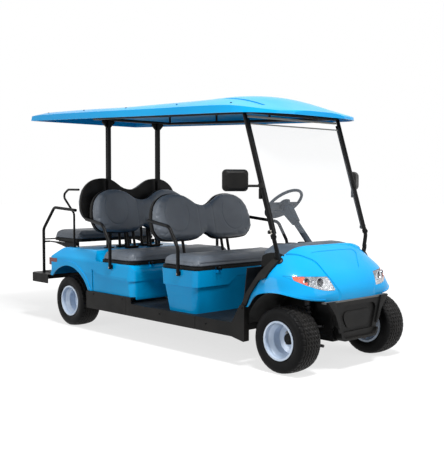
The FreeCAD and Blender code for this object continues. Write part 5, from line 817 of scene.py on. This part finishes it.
def tread_depth(across, turn):
    """How deep the tread is cut at a place across the tyre and round it, in metres."""
    wave = abs((turn * WAVES / math.tau) % 1 - 0.5) * 2
    zigzag = (wave - 0.5) * ZIGZAG
    deep = 0.0
    for line, half, swing in TREAD_GROOVES:
        for side in SIDES:
            off = abs(across - side * line - zigzag * swing)
            deep = max(deep, GROOVE_DEPTH * max(0.0, 1 - (off / half) ** 4))
    if abs(across) > SHOULDER:
        slot = abs((turn * SHOULDER_SLOTS / math.tau + (0.5 if across > 0 else 0.0)) % 1 - 0.5)
        return max(deep, SLOT_DEPTH if slot > 0.40 else 0.0)
    sipe = abs((turn * WAVES / math.tau + 0.25) % 1 - 0.5)
    return max(deep, SIPE_DEPTH if sipe > 0.44 else 0.0)


def tyre_profile():
    """The tyre's section from one bead over the tread to the other."""
    profile = wall_profile(-1)
    for i in range(TREAD_STEPS + 1):
        across = -TREAD_HALF + 2 * TREAD_HALF * i / TREAD_STEPS
        profile.append((across, TREAD_RADIUS - TREAD_DROP * abs(across / TREAD_HALF) ** 2.3))
    return profile + list(reversed(wall_profile(1)))


def make_tyre(name, x, y, body, node):
    bm = bmesh.new()
    centre = at(x, y, WHEEL_RADIUS)
    profile = tyre_profile()
    rings = []
    for step in range(AROUND):
        turn = math.tau * step / AROUND
        ring = []
        for across, radius in profile:
            if radius > CUT_RADIUS or abs(across) <= TREAD_HALF:
                radius -= tread_depth(across, turn)
            spoke = Vector((radius * math.cos(turn), across, radius * math.sin(turn)))
            ring.append(bm.verts.new(centre + spoke))
        rings.append(ring)
    for first, second in zip(rings, rings[1:] + rings[:1]):
        join_rings(bm, first, second)
    tyre = piece(name, bm, "tyre_rubber", body=body, sharp=50)
    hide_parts(node)


# Wheel fittings: places in millimetres, profiles of (radius, height) in metres

NUTS = 4
NUT_CIRCLE = 50.8
NUT_Y = 443
HUB_Y = 479
VALVE_X, VALVE_Y, VALVE_RISE = 96, 452, 20
WASHER = ((0.013, 0), (0.013, 0.002), (0.0105, 0.003))
NUT = ((0.0105, 0.002), (0.0105, 0.013), (0.0075, 0.017), (0, 0.018))
FRONT_CAP_SUNK = 0.034
FRONT_CAP = ((0.0375, 0), (0.0385, 0.004), (0.0385, 0.030), (0.036, 0.036), (0.026, 0.040),
             (0.024, 0.045), (0.014, 0.049), (0, 0.050))
REAR_CAP = ((0.014, 0), (0.014, 0.0015), (0.010, 0.0025), (0, 0.0028))
VALVE = ((0.004, 0), (0.0045, 0.012), (0.003, 0.014), (0.0036, 0.016), (0.0036, 0.028), (0, 0.029))


def make_nuts(tail, body, x, side):
    bm = bmesh.new()
    out = Vector((0, side, 0))
    for i in range(NUTS):
        turn = math.pi * (2 * i + 1) / NUTS
        spot = at(x + NUT_CIRCLE * math.cos(turn), side * NUT_Y, WHEEL_RADIUS + NUT_CIRCLE * math.sin(turn))
        lathe(bm, spot, out, WASHER, 20)
        lathe(bm, spot, out, NUT, 6)
    piece("wheel_nuts_" + tail, bm, "zinc", body, sharp=30)


def make_hub_cap(tail, body, x, side):
    """A deep cap over a front hub, or a flat plug in a rear one."""
    bm = bmesh.new()
    out = Vector((0, side, 0))
    hub = at(x, side * HUB_Y, WHEEL_RADIUS)
    if x == 0:
        lathe(bm, hub - out * FRONT_CAP_SUNK, out, FRONT_CAP, 36)
    else:
        lathe(bm, hub, out, REAR_CAP, 28)
    piece("hub_cap_" + tail, bm, "black_plastic", body=body)


def make_valve(tail, body, x, side):
    bm = bmesh.new()
    spot = at(x + VALVE_X, side * VALVE_Y, WHEEL_RADIUS + VALVE_RISE)
    lathe(bm, spot, Vector((0, side, 0)), VALVE, 14)
    piece("valve_" + tail, bm, "black_plastic", body=body)


def make_wheels():
    for end, x in (("front", 0), ("rear", -WHEELBASE)):
        for hand, side in HANDS:
            tail = "%s_%s" % (end, hand)
            body = "wheel_" + tail
            make_tyre("treaded_tyre_" + tail, x, side * WHEEL_Y, body, "tyre_" + tail)
            make_nuts(tail, body, x, side)
            make_hub_cap(tail, body, x, side)
            make_valve(tail, body, x, side)


# Lamps, in metres. The tip and the signal start at these distances from the cart's middle

LAMP_TIP = 0.499
SIGNAL_INNER = 0.43
SIGNAL_SUNK = (-0.0035, 0, 0)
FACING_AHEAD = 0.04

# Round reflectors: x, y, z and radius in millimetres, and look. A profile's radii are shares of that radius
LAMP_BALLS = ((130, 427, 626, 21, "lens_dark"), (149, 382, 627, 10, "chrome"),
              (169, 334, 620, 26, "lens_dark"))
BALL_SUNK = 22
BEZEL = ((1.22, -0.004), (1.28, 0.012), (1.18, 0.016), (1.02, 0.010), (0.98, 0.002))
BALL = ((1, 0), (0.97, 0.006), (0.82, 0.011), (0.5, 0.015), (0, 0.0165))

# Round red reflectors on the back, in millimetres, with a profile in metres
TAIL_X, TAIL_Y, TAIL_HEIGHTS = -2905, 498, (556, 586)
TAIL_DOME = ((0.012, -0.004), (0.012, 0.001), (0.008, 0.0025), (0, 0.003))


def lens_faces(side, inner=0.0, outer=LAMP_TIP):
    """The outward faces of one headlamp's solid between two distances from the middle."""
    bm = bmesh.new()
    bm.from_mesh(frame["nodes"]["headlamps"].data)
    bmesh.ops.remove_doubles(bm, verts=bm.verts, dist=MERGE)
    bm.normal_update()
    gone = []
    for face in bm.faces:
        if face.normal.x < FACING_AHEAD or not inner <= face.calc_center_median().y * side <= outer:
            gone.append(face)
    bmesh.ops.delete(bm, geom=gone, context="FACES")
    return bm


def sunk_cup(bm, back, draw):
    """Pushes the faces in, drawn in towards their middle, with walls left round them."""
    faces = list(bm.faces)
    moved = bmesh.ops.extrude_face_region(bm, geom=faces)
    verts = [v for v in moved["geom"] if isinstance(v, bmesh.types.BMVert)]
    centre = sum((v.co for v in verts), Vector()) / len(verts)
    for vertex in verts:
        vertex.co = centre + (vertex.co - centre) * draw - Vector((back, 0, 0))
    bmesh.ops.delete(bm, geom=faces, context="FACES_ONLY")


def lens_sheet(name, bm, thickness, look):
    bmesh.ops.solidify(bm, geom=list(bm.faces), thickness=thickness)
    piece(name, bm, look)


def make_lamp_ball(tail, spot, out, radius, look):
    """A domed reflector in a bright ring."""
    for part, profile, sides, seen in (("bezel", BEZEL, 36, "chrome"), ("ball", BALL, 32, look)):
        bm = bmesh.new()
        lathe(bm, spot, out, [(radius * share, height) for share, height in profile], sides)
        piece("lamp_%s_%s" % (part, tail), bm, seen)


def make_headlamps():
    """Each with a bright bowl, a clear cover, a painted tip, an amber signal and three round reflectors."""
    for hand, side in HANDS:
        bowl = lens_faces(side)
        sunk_cup(bowl, back=0.030, draw=0.93)
        housing = piece("headlamp_bowl_" + hand, bowl, "reflector")
        lens_sheet("headlamp_glass_" + hand, lens_faces(side), 0.002, "lamp_clear")
        if side < 0:
            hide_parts("headlamps")
        lens_sheet("headlamp_tip_" + hand, lens_faces(side, LAMP_TIP, 1.0), 0.003, "body_paint")
        signal = lens_faces(side, SIGNAL_INNER)
        bmesh.ops.translate(signal, verts=signal.verts, vec=SIGNAL_SUNK)
        lens_sheet("turn_signal_" + hand, signal, 0.003, "amber")
        out = Vector((1, side * 0.18, 0.1)).normalized()
        for number, (x, y, z, radius, look) in enumerate(LAMP_BALLS):
            spot = at(x - BALL_SUNK, side * y, z)
            make_lamp_ball("%s_%d" % (hand, number), spot, out, radius / 1000, look)


def make_tail_lamps():
    for hand, side in HANDS:
        bm = bmesh.new()
        for z in TAIL_HEIGHTS:
            lathe(bm, at(TAIL_X, side * TAIL_Y, z), Vector((-1, 0, 0)), TAIL_DOME, 24)
        piece("tail_reflectors_" + hand, bm, "lamp_red")


# Front end: outlines and places in millimetres, thicknesses and radii in metres

WING_X = 206
WING = ((262, 489), (346, 489), (336, 474), (262, 400), (236, 320), (214, 292), (200, 300),
        (226, 380), (240, 420))
WING_THICK = 0.034
# Black sheets behind the front wheels: partly the inner liners, partly painted shade that fills the dark
# under the front end
LINER_SHADE_Y = 233
LINER_SHADE = ((-250, 236), (188, 212), (188, 470), (120, 484), (-230, 484), (-300, 420))
LINER_SHADE_THICK = 0.004
FOOT_X = -91
FOOT_PATH = ((498, 826), (497, 802), (490, 782))
FOOT_GROUND_Y = 478
FOOT_RADIUS = 0.0165
FOOT_END = 0.004
FLANGE_SUNK = 0.002
FLANGE = ((0.030, 0), (0.030, 0.006), (0.026, 0.009), (0, 0.009))
HEADER_BAR = ((-404, -500, 1762), (-372, 500, 1776))
COIL_Y, COIL_RADIUS = 278, 31
COIL_LOW, COIL_RISE = 214, 232
COIL_TURNS = 7
COIL_STEPS = 26
COIL_WIRE = 0.0055


def side_plate(bm, side, y, outline, thick, bevel):
    """A plate that stands along the cart, its outline given as x and z."""
    slab(bm, [at(x, side * y, z) for x, z in outline], Vector((0, side * thick, 0)), bevel)


def valance_wing(bm, side):
    slab(bm, [at(WING_X, side * y, z) for y, z in WING], Vector((WING_THICK, 0, 0)), 0.004)


# Partly an inner liner, partly a dark sheet of painted shade behind a front wheel
def liner_shade_sheet(bm, side):
    side_plate(bm, side, LINER_SHADE_Y, LINER_SHADE, LINER_SHADE_THICK, 0.001)


def pillar_foot(bm, side):
    """A bent tube with a flange that carries a pillar of the windscreen down to the cowl."""
    ground, normal = from_above("front_cowl", FOOT_X, side * FOOT_GROUND_Y)
    points = [at(FOOT_X, side * y, z) for y, z in FOOT_PATH] + [ground + normal * FOOT_END]
    sweep(bm, points, circle(FOOT_RADIUS, 20))
    lathe(bm, ground - normal * FLANGE_SUNK, normal, FLANGE, 28)


def make_screen_header():
    bm = bmesh.new()
    brick(bm, *HEADER_BAR, bevel=4)
    piece("screen_header", bm, "header")


def coil_spring(bm, side):
    """A coil round a front coil-over."""
    count = COIL_TURNS * COIL_STEPS
    points = []
    for i in range(count + 1):
        turn = math.tau * i / COIL_STEPS
        y = side * COIL_Y + COIL_RADIUS * math.sin(turn)
        points.append(at(COIL_RADIUS * math.cos(turn), y, COIL_LOW + COIL_RISE * i / count))
    sweep(bm, points, circle(COIL_WIRE, 10))


# Windscreen, in millimetres, but sections and profiles in metres. Ends are x and z, latches z and height

PILLAR_FOOT = (-96, 900)
PILLAR_TOP = (-388, 1790)
CHANNEL_HEIGHTS = (946, 1200, 1500, 1750)
CHANNEL_LOW, CHANNEL_LONG = 940, 850
CHANNEL_Y, CHANNEL_SPREAD = 507, 5
CHANNEL_SECTION = ((-0.010, -0.017), (0.010, -0.017), (0.010, 0.017), (-0.010, 0.017))
SCREEN_TOP = 1715
SCREEN_HALF = 500
LATCHES = ((1222, 74), (958, 26))
LATCH_X = (-34, -12)
LATCH_Y = (505, 535)
CLAMP_BOLTS = (950, 968)
CLAMP_Y, CLAMP_AHEAD = 531, 2
CLAMP_HEAD = ((0.007, 0), (0.007, 0.006), (0, 0.008))


def pillar_line(z):
    """The windscreen pillar's place along the cart at a height, in millimetres."""
    (foot_x, foot_z), (top_x, top_z) = PILLAR_FOOT, PILLAR_TOP
    return foot_x + (z - foot_z) * (top_x - foot_x) / (top_z - foot_z)


def screen_channel(bm, side):
    points = []
    for z in CHANNEL_HEIGHTS:
        spread = (z - CHANNEL_LOW) / CHANNEL_LONG * CHANNEL_SPREAD
        points.append(at(pillar_line(z), side * (CHANNEL_Y + spread), z))
    sweep(bm, points, CHANNEL_SECTION)


def make_edge_strip():
    bm = bmesh.new()
    points = [at(pillar_line(SCREEN_TOP), y, SCREEN_TOP) for y in (-SCREEN_HALF, SCREEN_HALF)]
    sweep(bm, points, circle(0.005, 12))
    piece("screen_edge_strip", bm, "header")


def screen_latches(bm, side):
    near, far = sorted(side * y for y in LATCH_Y)
    for z, high in LATCHES:
        back, front = (pillar_line(z) + x for x in LATCH_X)
        brick(bm, (back, near, z - high / 2), (front, far, z + high / 2), 6)


def clamp_bolts(bm, side):
    for z in CLAMP_BOLTS:
        spot = at(pillar_line(z) + CLAMP_AHEAD, side * CLAMP_Y, z)
        lathe(bm, spot, Vector((0, side, 0)), CLAMP_HEAD, 6)


# Roof: places in millimetres, radii in metres. A plug is x, y and radius

PLUGS = ((-548, 408, 0.0085), (-372, 408, 0.0065))
ROOF_SCREWS = (-500, -1100, -1750, -2370, -2960)
ROOF_SCREW_Y = 545
ROOF_SCREW_RADIUS = 0.008
ROOF_SCREW_SUNK = 0.0005
ROOF_FRONT_X, ROOF_FRONT_Z = -128, 1780
ROOF_LONG, ROOF_RISE = 3022, 104
BEAD_START, BEAD_LONG = -520, 2560
BEAD_STEPS = 12
BEAD_LIFT = 16
BEAD_RADIUS = 0.0045
BEAD_IN, BEAD_DROP = 0.004, 0.010


def drain_plugs(bm, side):
    for x, y, r in PLUGS:
        spot, normal = from_above("roof", x, side * y)
        lathe(bm, spot, normal, [(r, -0.002), (r, 0.002), (r * 0.6, 0.0035), (0, 0.004)], 18)


def roof_screws(bm, side):
    for x in ROOF_SCREWS:
        spot, normal = from_above("roof", x, side * ROOF_SCREW_Y)
        screw(bm, spot - normal * ROOF_SCREW_SUNK, normal, ROOF_SCREW_RADIUS)


def edge_bead(bm, side):
    """A thin bead along a side of the roof, which rises towards the back."""
    points = []
    for i in range(BEAD_STEPS + 1):
        x = BEAD_START - BEAD_LONG * i / BEAD_STEPS
        edge = ROOF_FRONT_Z + (x - ROOF_FRONT_X) / -ROOF_LONG * ROOF_RISE
        spot, _ = from_side("roof", x, side, edge + BEAD_LIFT)
        points.append(spot + Vector((0, -side * BEAD_IN, -BEAD_DROP)))
    sweep(bm, points, circle(BEAD_RADIUS, 8))


# Body: places in millimetres, radii and thicknesses in metres. Screws are x and z on the cart's sides

SILL_SCREWS = ((-1734, 336), (-2150, 336), (-1240, 270), (-700, 262), (-318, 420))
ARM_RAIL_BOLTS = ((-1003, 604), (-1888, 586))
SIDE_SCREW_SUNK = 0.0004
SKIRT = ((-3112, 742), (-3112, 731), (-3000, 728), (-2900, 712), (-2798, 690), (-2640, 700),
         (-2640, 742))
SKIRT_Y = 456
SKIRT_THICK = 0.005
STAY_PATH = ((-3104, 459), (-3110, 485), (-3116, 508))
STAY_Z = 736
STAY_RADIUS = 0.008


def side_screws(bm, side, node, places, radius):
    for x, z in places:
        spot, normal = from_side(node, x, side, z)
        screw(bm, spot - normal * SIDE_SCREW_SUNK, normal, radius)


def sill_screws(bm, side):
    side_screws(bm, side, "side_sills", SILL_SCREWS, 0.0075)


def arm_rail_bolts(bm, side):
    side_screws(bm, side, "arm_rails", ARM_RAIL_BOLTS, 0.006)


def rear_skirt(bm, side):
    """A black plate on the deck's side, under the rear bench, with a stay to the rail beside it."""
    side_plate(bm, side, SKIRT_Y, SKIRT, SKIRT_THICK, 0.0015)
    sweep(bm, [at(x, side * y, STAY_Z) for x, y in STAY_PATH], circle(STAY_RADIUS, 14))


# Dash: places in millimetres, radii in metres. Its section, as x and z, in the middle and at the ends

DASH_MIDDLE = ((-76, 836), (-94, 846), (-124, 852), (-170, 858), (-240, 860), (-330, 848), (-398, 806),
               (-405, 752), (-372, 610), (-348, 610), (-322, 700.5), (-124, 700.5), (-124, 745))
DASH_END = ((-78, 792), (-94, 800), (-124, 808), (-160, 810), (-200, 808), (-246, 800), (-286, 780),
            (-292, 752), (-298, 702), (-290, 700.5), (-250, 700.5), (-124, 700.5), (-124, 745))
DASH_CHIN = (8, 9)
DASH_HALF = 440
DASH_STEP = 20
DASH_BEND_Y, DASH_BEND_WIDE = 270, 170
DASH_ROUND = 0.005
DASH_ROUND_ANGLE = 24
DIALS = ((190, 0.026), (36, 0.020))
DIAL_X, DIAL_Z = -403, 772
SWITCHES = (-24, -60)
SWITCH_BACK, SWITCH_FRONT = -411, -403
SWITCH_LOW, SWITCH_HIGH = 765, 791
SWITCH_HALF = 11
CUPS = (-230, -120, 20)
CUP_X, CUP_Z = -300, 850.5
CUP_RING = ((0.042, -0.004), (0.042, 0.004), (0.039, 0.006), (0.036, 0.004), (0.035, -0.004))


def dash_section(y):
    """The dash's outline at a distance from the middle: it draws back to a low rounded end."""
    share = min(1.0, max(0.0, (abs(y) - DASH_BEND_Y) / DASH_BEND_WIDE))
    share = share * share * (3 - 2 * share)
    points = []
    for number, ((x, z), (end_x, end_z)) in enumerate(zip(DASH_MIDDLE, DASH_END)):
        along = rising = share
        if number in DASH_CHIN:
            rising = min(1.0, share * 2)
            along = max(0.0, share * 2 - 1)
        points.append(at(x + (end_x - x) * along, y, z + (end_z - z) * rising))
    return points


def make_dash():
    bm = bmesh.new()
    loft(bm, [dash_section(y) for y in range(-DASH_HALF, DASH_HALF + 1, DASH_STEP)])
    dash = piece("dash_moulding", bm, "dash_plastic")
    soften = dash.modifiers.new("soften", "BEVEL")
    soften.width = DASH_ROUND
    soften.segments = 3
    soften.limit_method = "ANGLE"
    soften.angle_limit = math.radians(DASH_ROUND_ANGLE)
    swap_mesh(dash, evaluated(dash))
    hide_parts("dashboard")


def make_dials():
    """Round dials with bright rings and blank faces."""
    back = Vector((-1, 0, 0))
    rings = bmesh.new()
    faces = bmesh.new()
    for y, r in DIALS:
        spot = at(DIAL_X, y, DIAL_Z)
        ring = [(r * 1.12, 0), (r * 1.12, 0.005), (r * 0.96, 0.006), (r * 0.94, 0.003)]
        lathe(rings, spot - back * 0.002, back, ring, 36)
        lathe(faces, spot, back, [(r * 0.95, 0), (r * 0.95, 0.002), (0, 0.003)], 36)
    piece("dial_rings", rings, "chrome")
    piece("dial_faces", faces, "lens_dark")


def make_switches():
    bm = bmesh.new()
    for y in SWITCHES:
        low, high = (SWITCH_BACK, y - SWITCH_HALF, SWITCH_LOW), (SWITCH_FRONT, y + SWITCH_HALF, SWITCH_HIGH)
        brick(bm, low, high, 2.5)
    piece("dash_switches", bm, "black_plastic")


def make_cup_rings():
    bm = bmesh.new()
    for y in CUPS:
        lathe(bm, at(CUP_X, y, CUP_Z), UP, CUP_RING, 40)
    piece("cup_rings", bm, "black_plastic")


# Mirrors: the glass's middle in millimetres and its turn in degrees, its half sizes in metres

MIRROR_MIDDLE = (-318, 670, 1314)
MIRROR_TURN = 28
MIRROR_HALF = (0.082, 0.063)
MIRROR_CORNER = 0.45
MIRROR_STEPS = 32
MIRROR_THICK = 0.0015
MIRROR_GAP = 0.0004


def mirror_outline(middle, across):
    """Points of a rounded rectangle about a middle."""
    points = []
    for i in range(MIRROR_STEPS):
        angle = math.tau * i / MIRROR_STEPS
        a, b = (math.copysign(abs(c) ** MIRROR_CORNER, c) for c in (math.cos(angle), math.sin(angle)))
        points.append(middle + across * (a * MIRROR_HALF[0]) + UP * (b * MIRROR_HALF[1]))
    return points


def mirror_glass(bm, side):
    turn = math.radians(MIRROR_TURN)
    x, y, z = MIRROR_MIDDLE
    normal = Vector((-math.cos(turn), -side * math.sin(turn), 0))
    across = UP.cross(normal).normalized()
    spot, _ = hit("mirrors", at(x, side * y, z) + normal * 0.5, -normal)
    slab(bm, mirror_outline(spot + normal * MIRROR_GAP, across), normal * MIRROR_THICK)


# Stage, lights and camera

def make_camera():
    data = bpy.data.cameras.new("camera")
    data.sensor_width = SENSOR_MM
    data.lens = FOCAL_PIXELS * SENSOR_MM / LONG_SIDE_PIXELS
    camera = new_object("camera", data)
    yaw, pitch = math.radians(CAMERA_YAW), math.radians(CAMERA_PITCH)
    look = Vector((-math.cos(yaw) * math.cos(pitch), math.sin(yaw) * math.cos(pitch), -math.sin(pitch)))
    turn = look.to_track_quat("-Z", "Y").to_matrix().to_4x4()
    roll = Matrix.Rotation(math.radians(CAMERA_ROLL), 4, "Z")
    camera.matrix_world = Matrix.Translation(CAMERA_PLACE) @ turn @ roll
    bpy.context.scene.camera = camera


def shown_rays(tree):
    """1 for the rays that show the background: camera, mirror and clear ones."""
    paths = add(tree, "ShaderNodeLightPath").outputs
    seen = maths(tree, "MAXIMUM", paths["Is Camera Ray"], paths["Is Transmission Ray"])
    return maths(tree, "MAXIMUM", seen, paths["Is Glossy Ray"])


def make_stage():
    """A pale floor that keeps the cart's shadow and glows into the white background further out."""
    mesh = bpy.data.meshes.new("floor")
    size = FLOOR_HALF
    corners = [(-size, -size, 0), (size, -size, 0), (size, size, 0), (-size, size, 0)]
    mesh.from_pydata(corners, [], [(0, 1, 2, 3)])
    floor = new_object("floor", mesh)
    material, tree = new_material("floor", 0.9, specular=0.0)
    shader = shader_of(tree)
    shader.inputs["Base Color"].default_value = linear(FLOOR_COLOUR)
    away = add(tree, "ShaderNodeVectorMath", {0: place_of(tree)}, operation="LENGTH").outputs["Value"]
    glow = levels(tree, away, *FLOOR_FADE, FLOOR_GLOW, 1.0)
    shader.inputs["Emission Color"].default_value = WHITE_LIGHT
    tree.links.new(maths(tree, "MULTIPLY", glow, shown_rays(tree)), shader.inputs["Emission Strength"])
    mesh.materials.append(material)


def make_lights():
    """A white background, dimmer as a light than as it looks, and three area lights facing the middle."""
    world = bpy.data.worlds.new("studio")
    world.use_nodes = True
    tree = world.node_tree
    back = tree.nodes["Background"]
    tree.links.new(levels(tree, shown_rays(tree), 0.0, 1.0, WORLD_LIGHT, 1.0), back.inputs["Strength"])
    back.inputs["Color"].default_value = WHITE_LIGHT
    bpy.context.scene.world = world
    for name, place, power, width in LIGHTS:
        data = bpy.data.lights.new(name, "AREA")
        data.energy = power
        data.size = width
        turn = Vector(place).to_track_quat("Z", "Y").to_matrix().to_4x4()
        new_object(name, data).matrix_world = Matrix.Translation(place) @ turn


def dress_nodes():
    for part in frame["record"]["subparts"]:
        mesh = frame["nodes"][part["node"]].data
        mesh.materials.clear()
        mesh.materials.append(LOOKS[OWN_LOOKS.get(part["node"], part["material_slot"])])


make_camera()
make_stage()
make_lights()
dress_nodes()
make_seats()
make_wheels()
make_headlamps()
make_tail_lamps()
both_sides("valance_wings", valance_wing, "black_plastic")
both_sides("liner_shade_sheets", liner_shade_sheet, "black_plastic")
both_sides("pillar_feet", pillar_foot, "frame_steel")
make_screen_header()
both_sides("coil_springs", coil_spring, "frame_steel")
both_sides("screen_channels", screen_channel, "frame_steel")
make_edge_strip()
both_sides("screen_latches", screen_latches, "black_plastic")
both_sides("clamp_bolts", clamp_bolts, "zinc")
both_sides("drain_plugs", drain_plugs, "black_plastic")
both_sides("roof_screws", roof_screws, "frame_steel")
both_sides("roof_edge_beads", edge_bead, "body_paint")
both_sides("sill_screws", sill_screws, "frame_steel", sharp=30)
both_sides("arm_rail_bolts", arm_rail_bolts, "zinc", sharp=30)
both_sides("rear_skirts", rear_skirt, "black_plastic")
make_dash()
make_dials()
make_switches()
make_cup_rings()
both_sides("mirror_faces", mirror_glass, "mirror")
bpy.context.scene.view_settings.view_transform = "Standard"
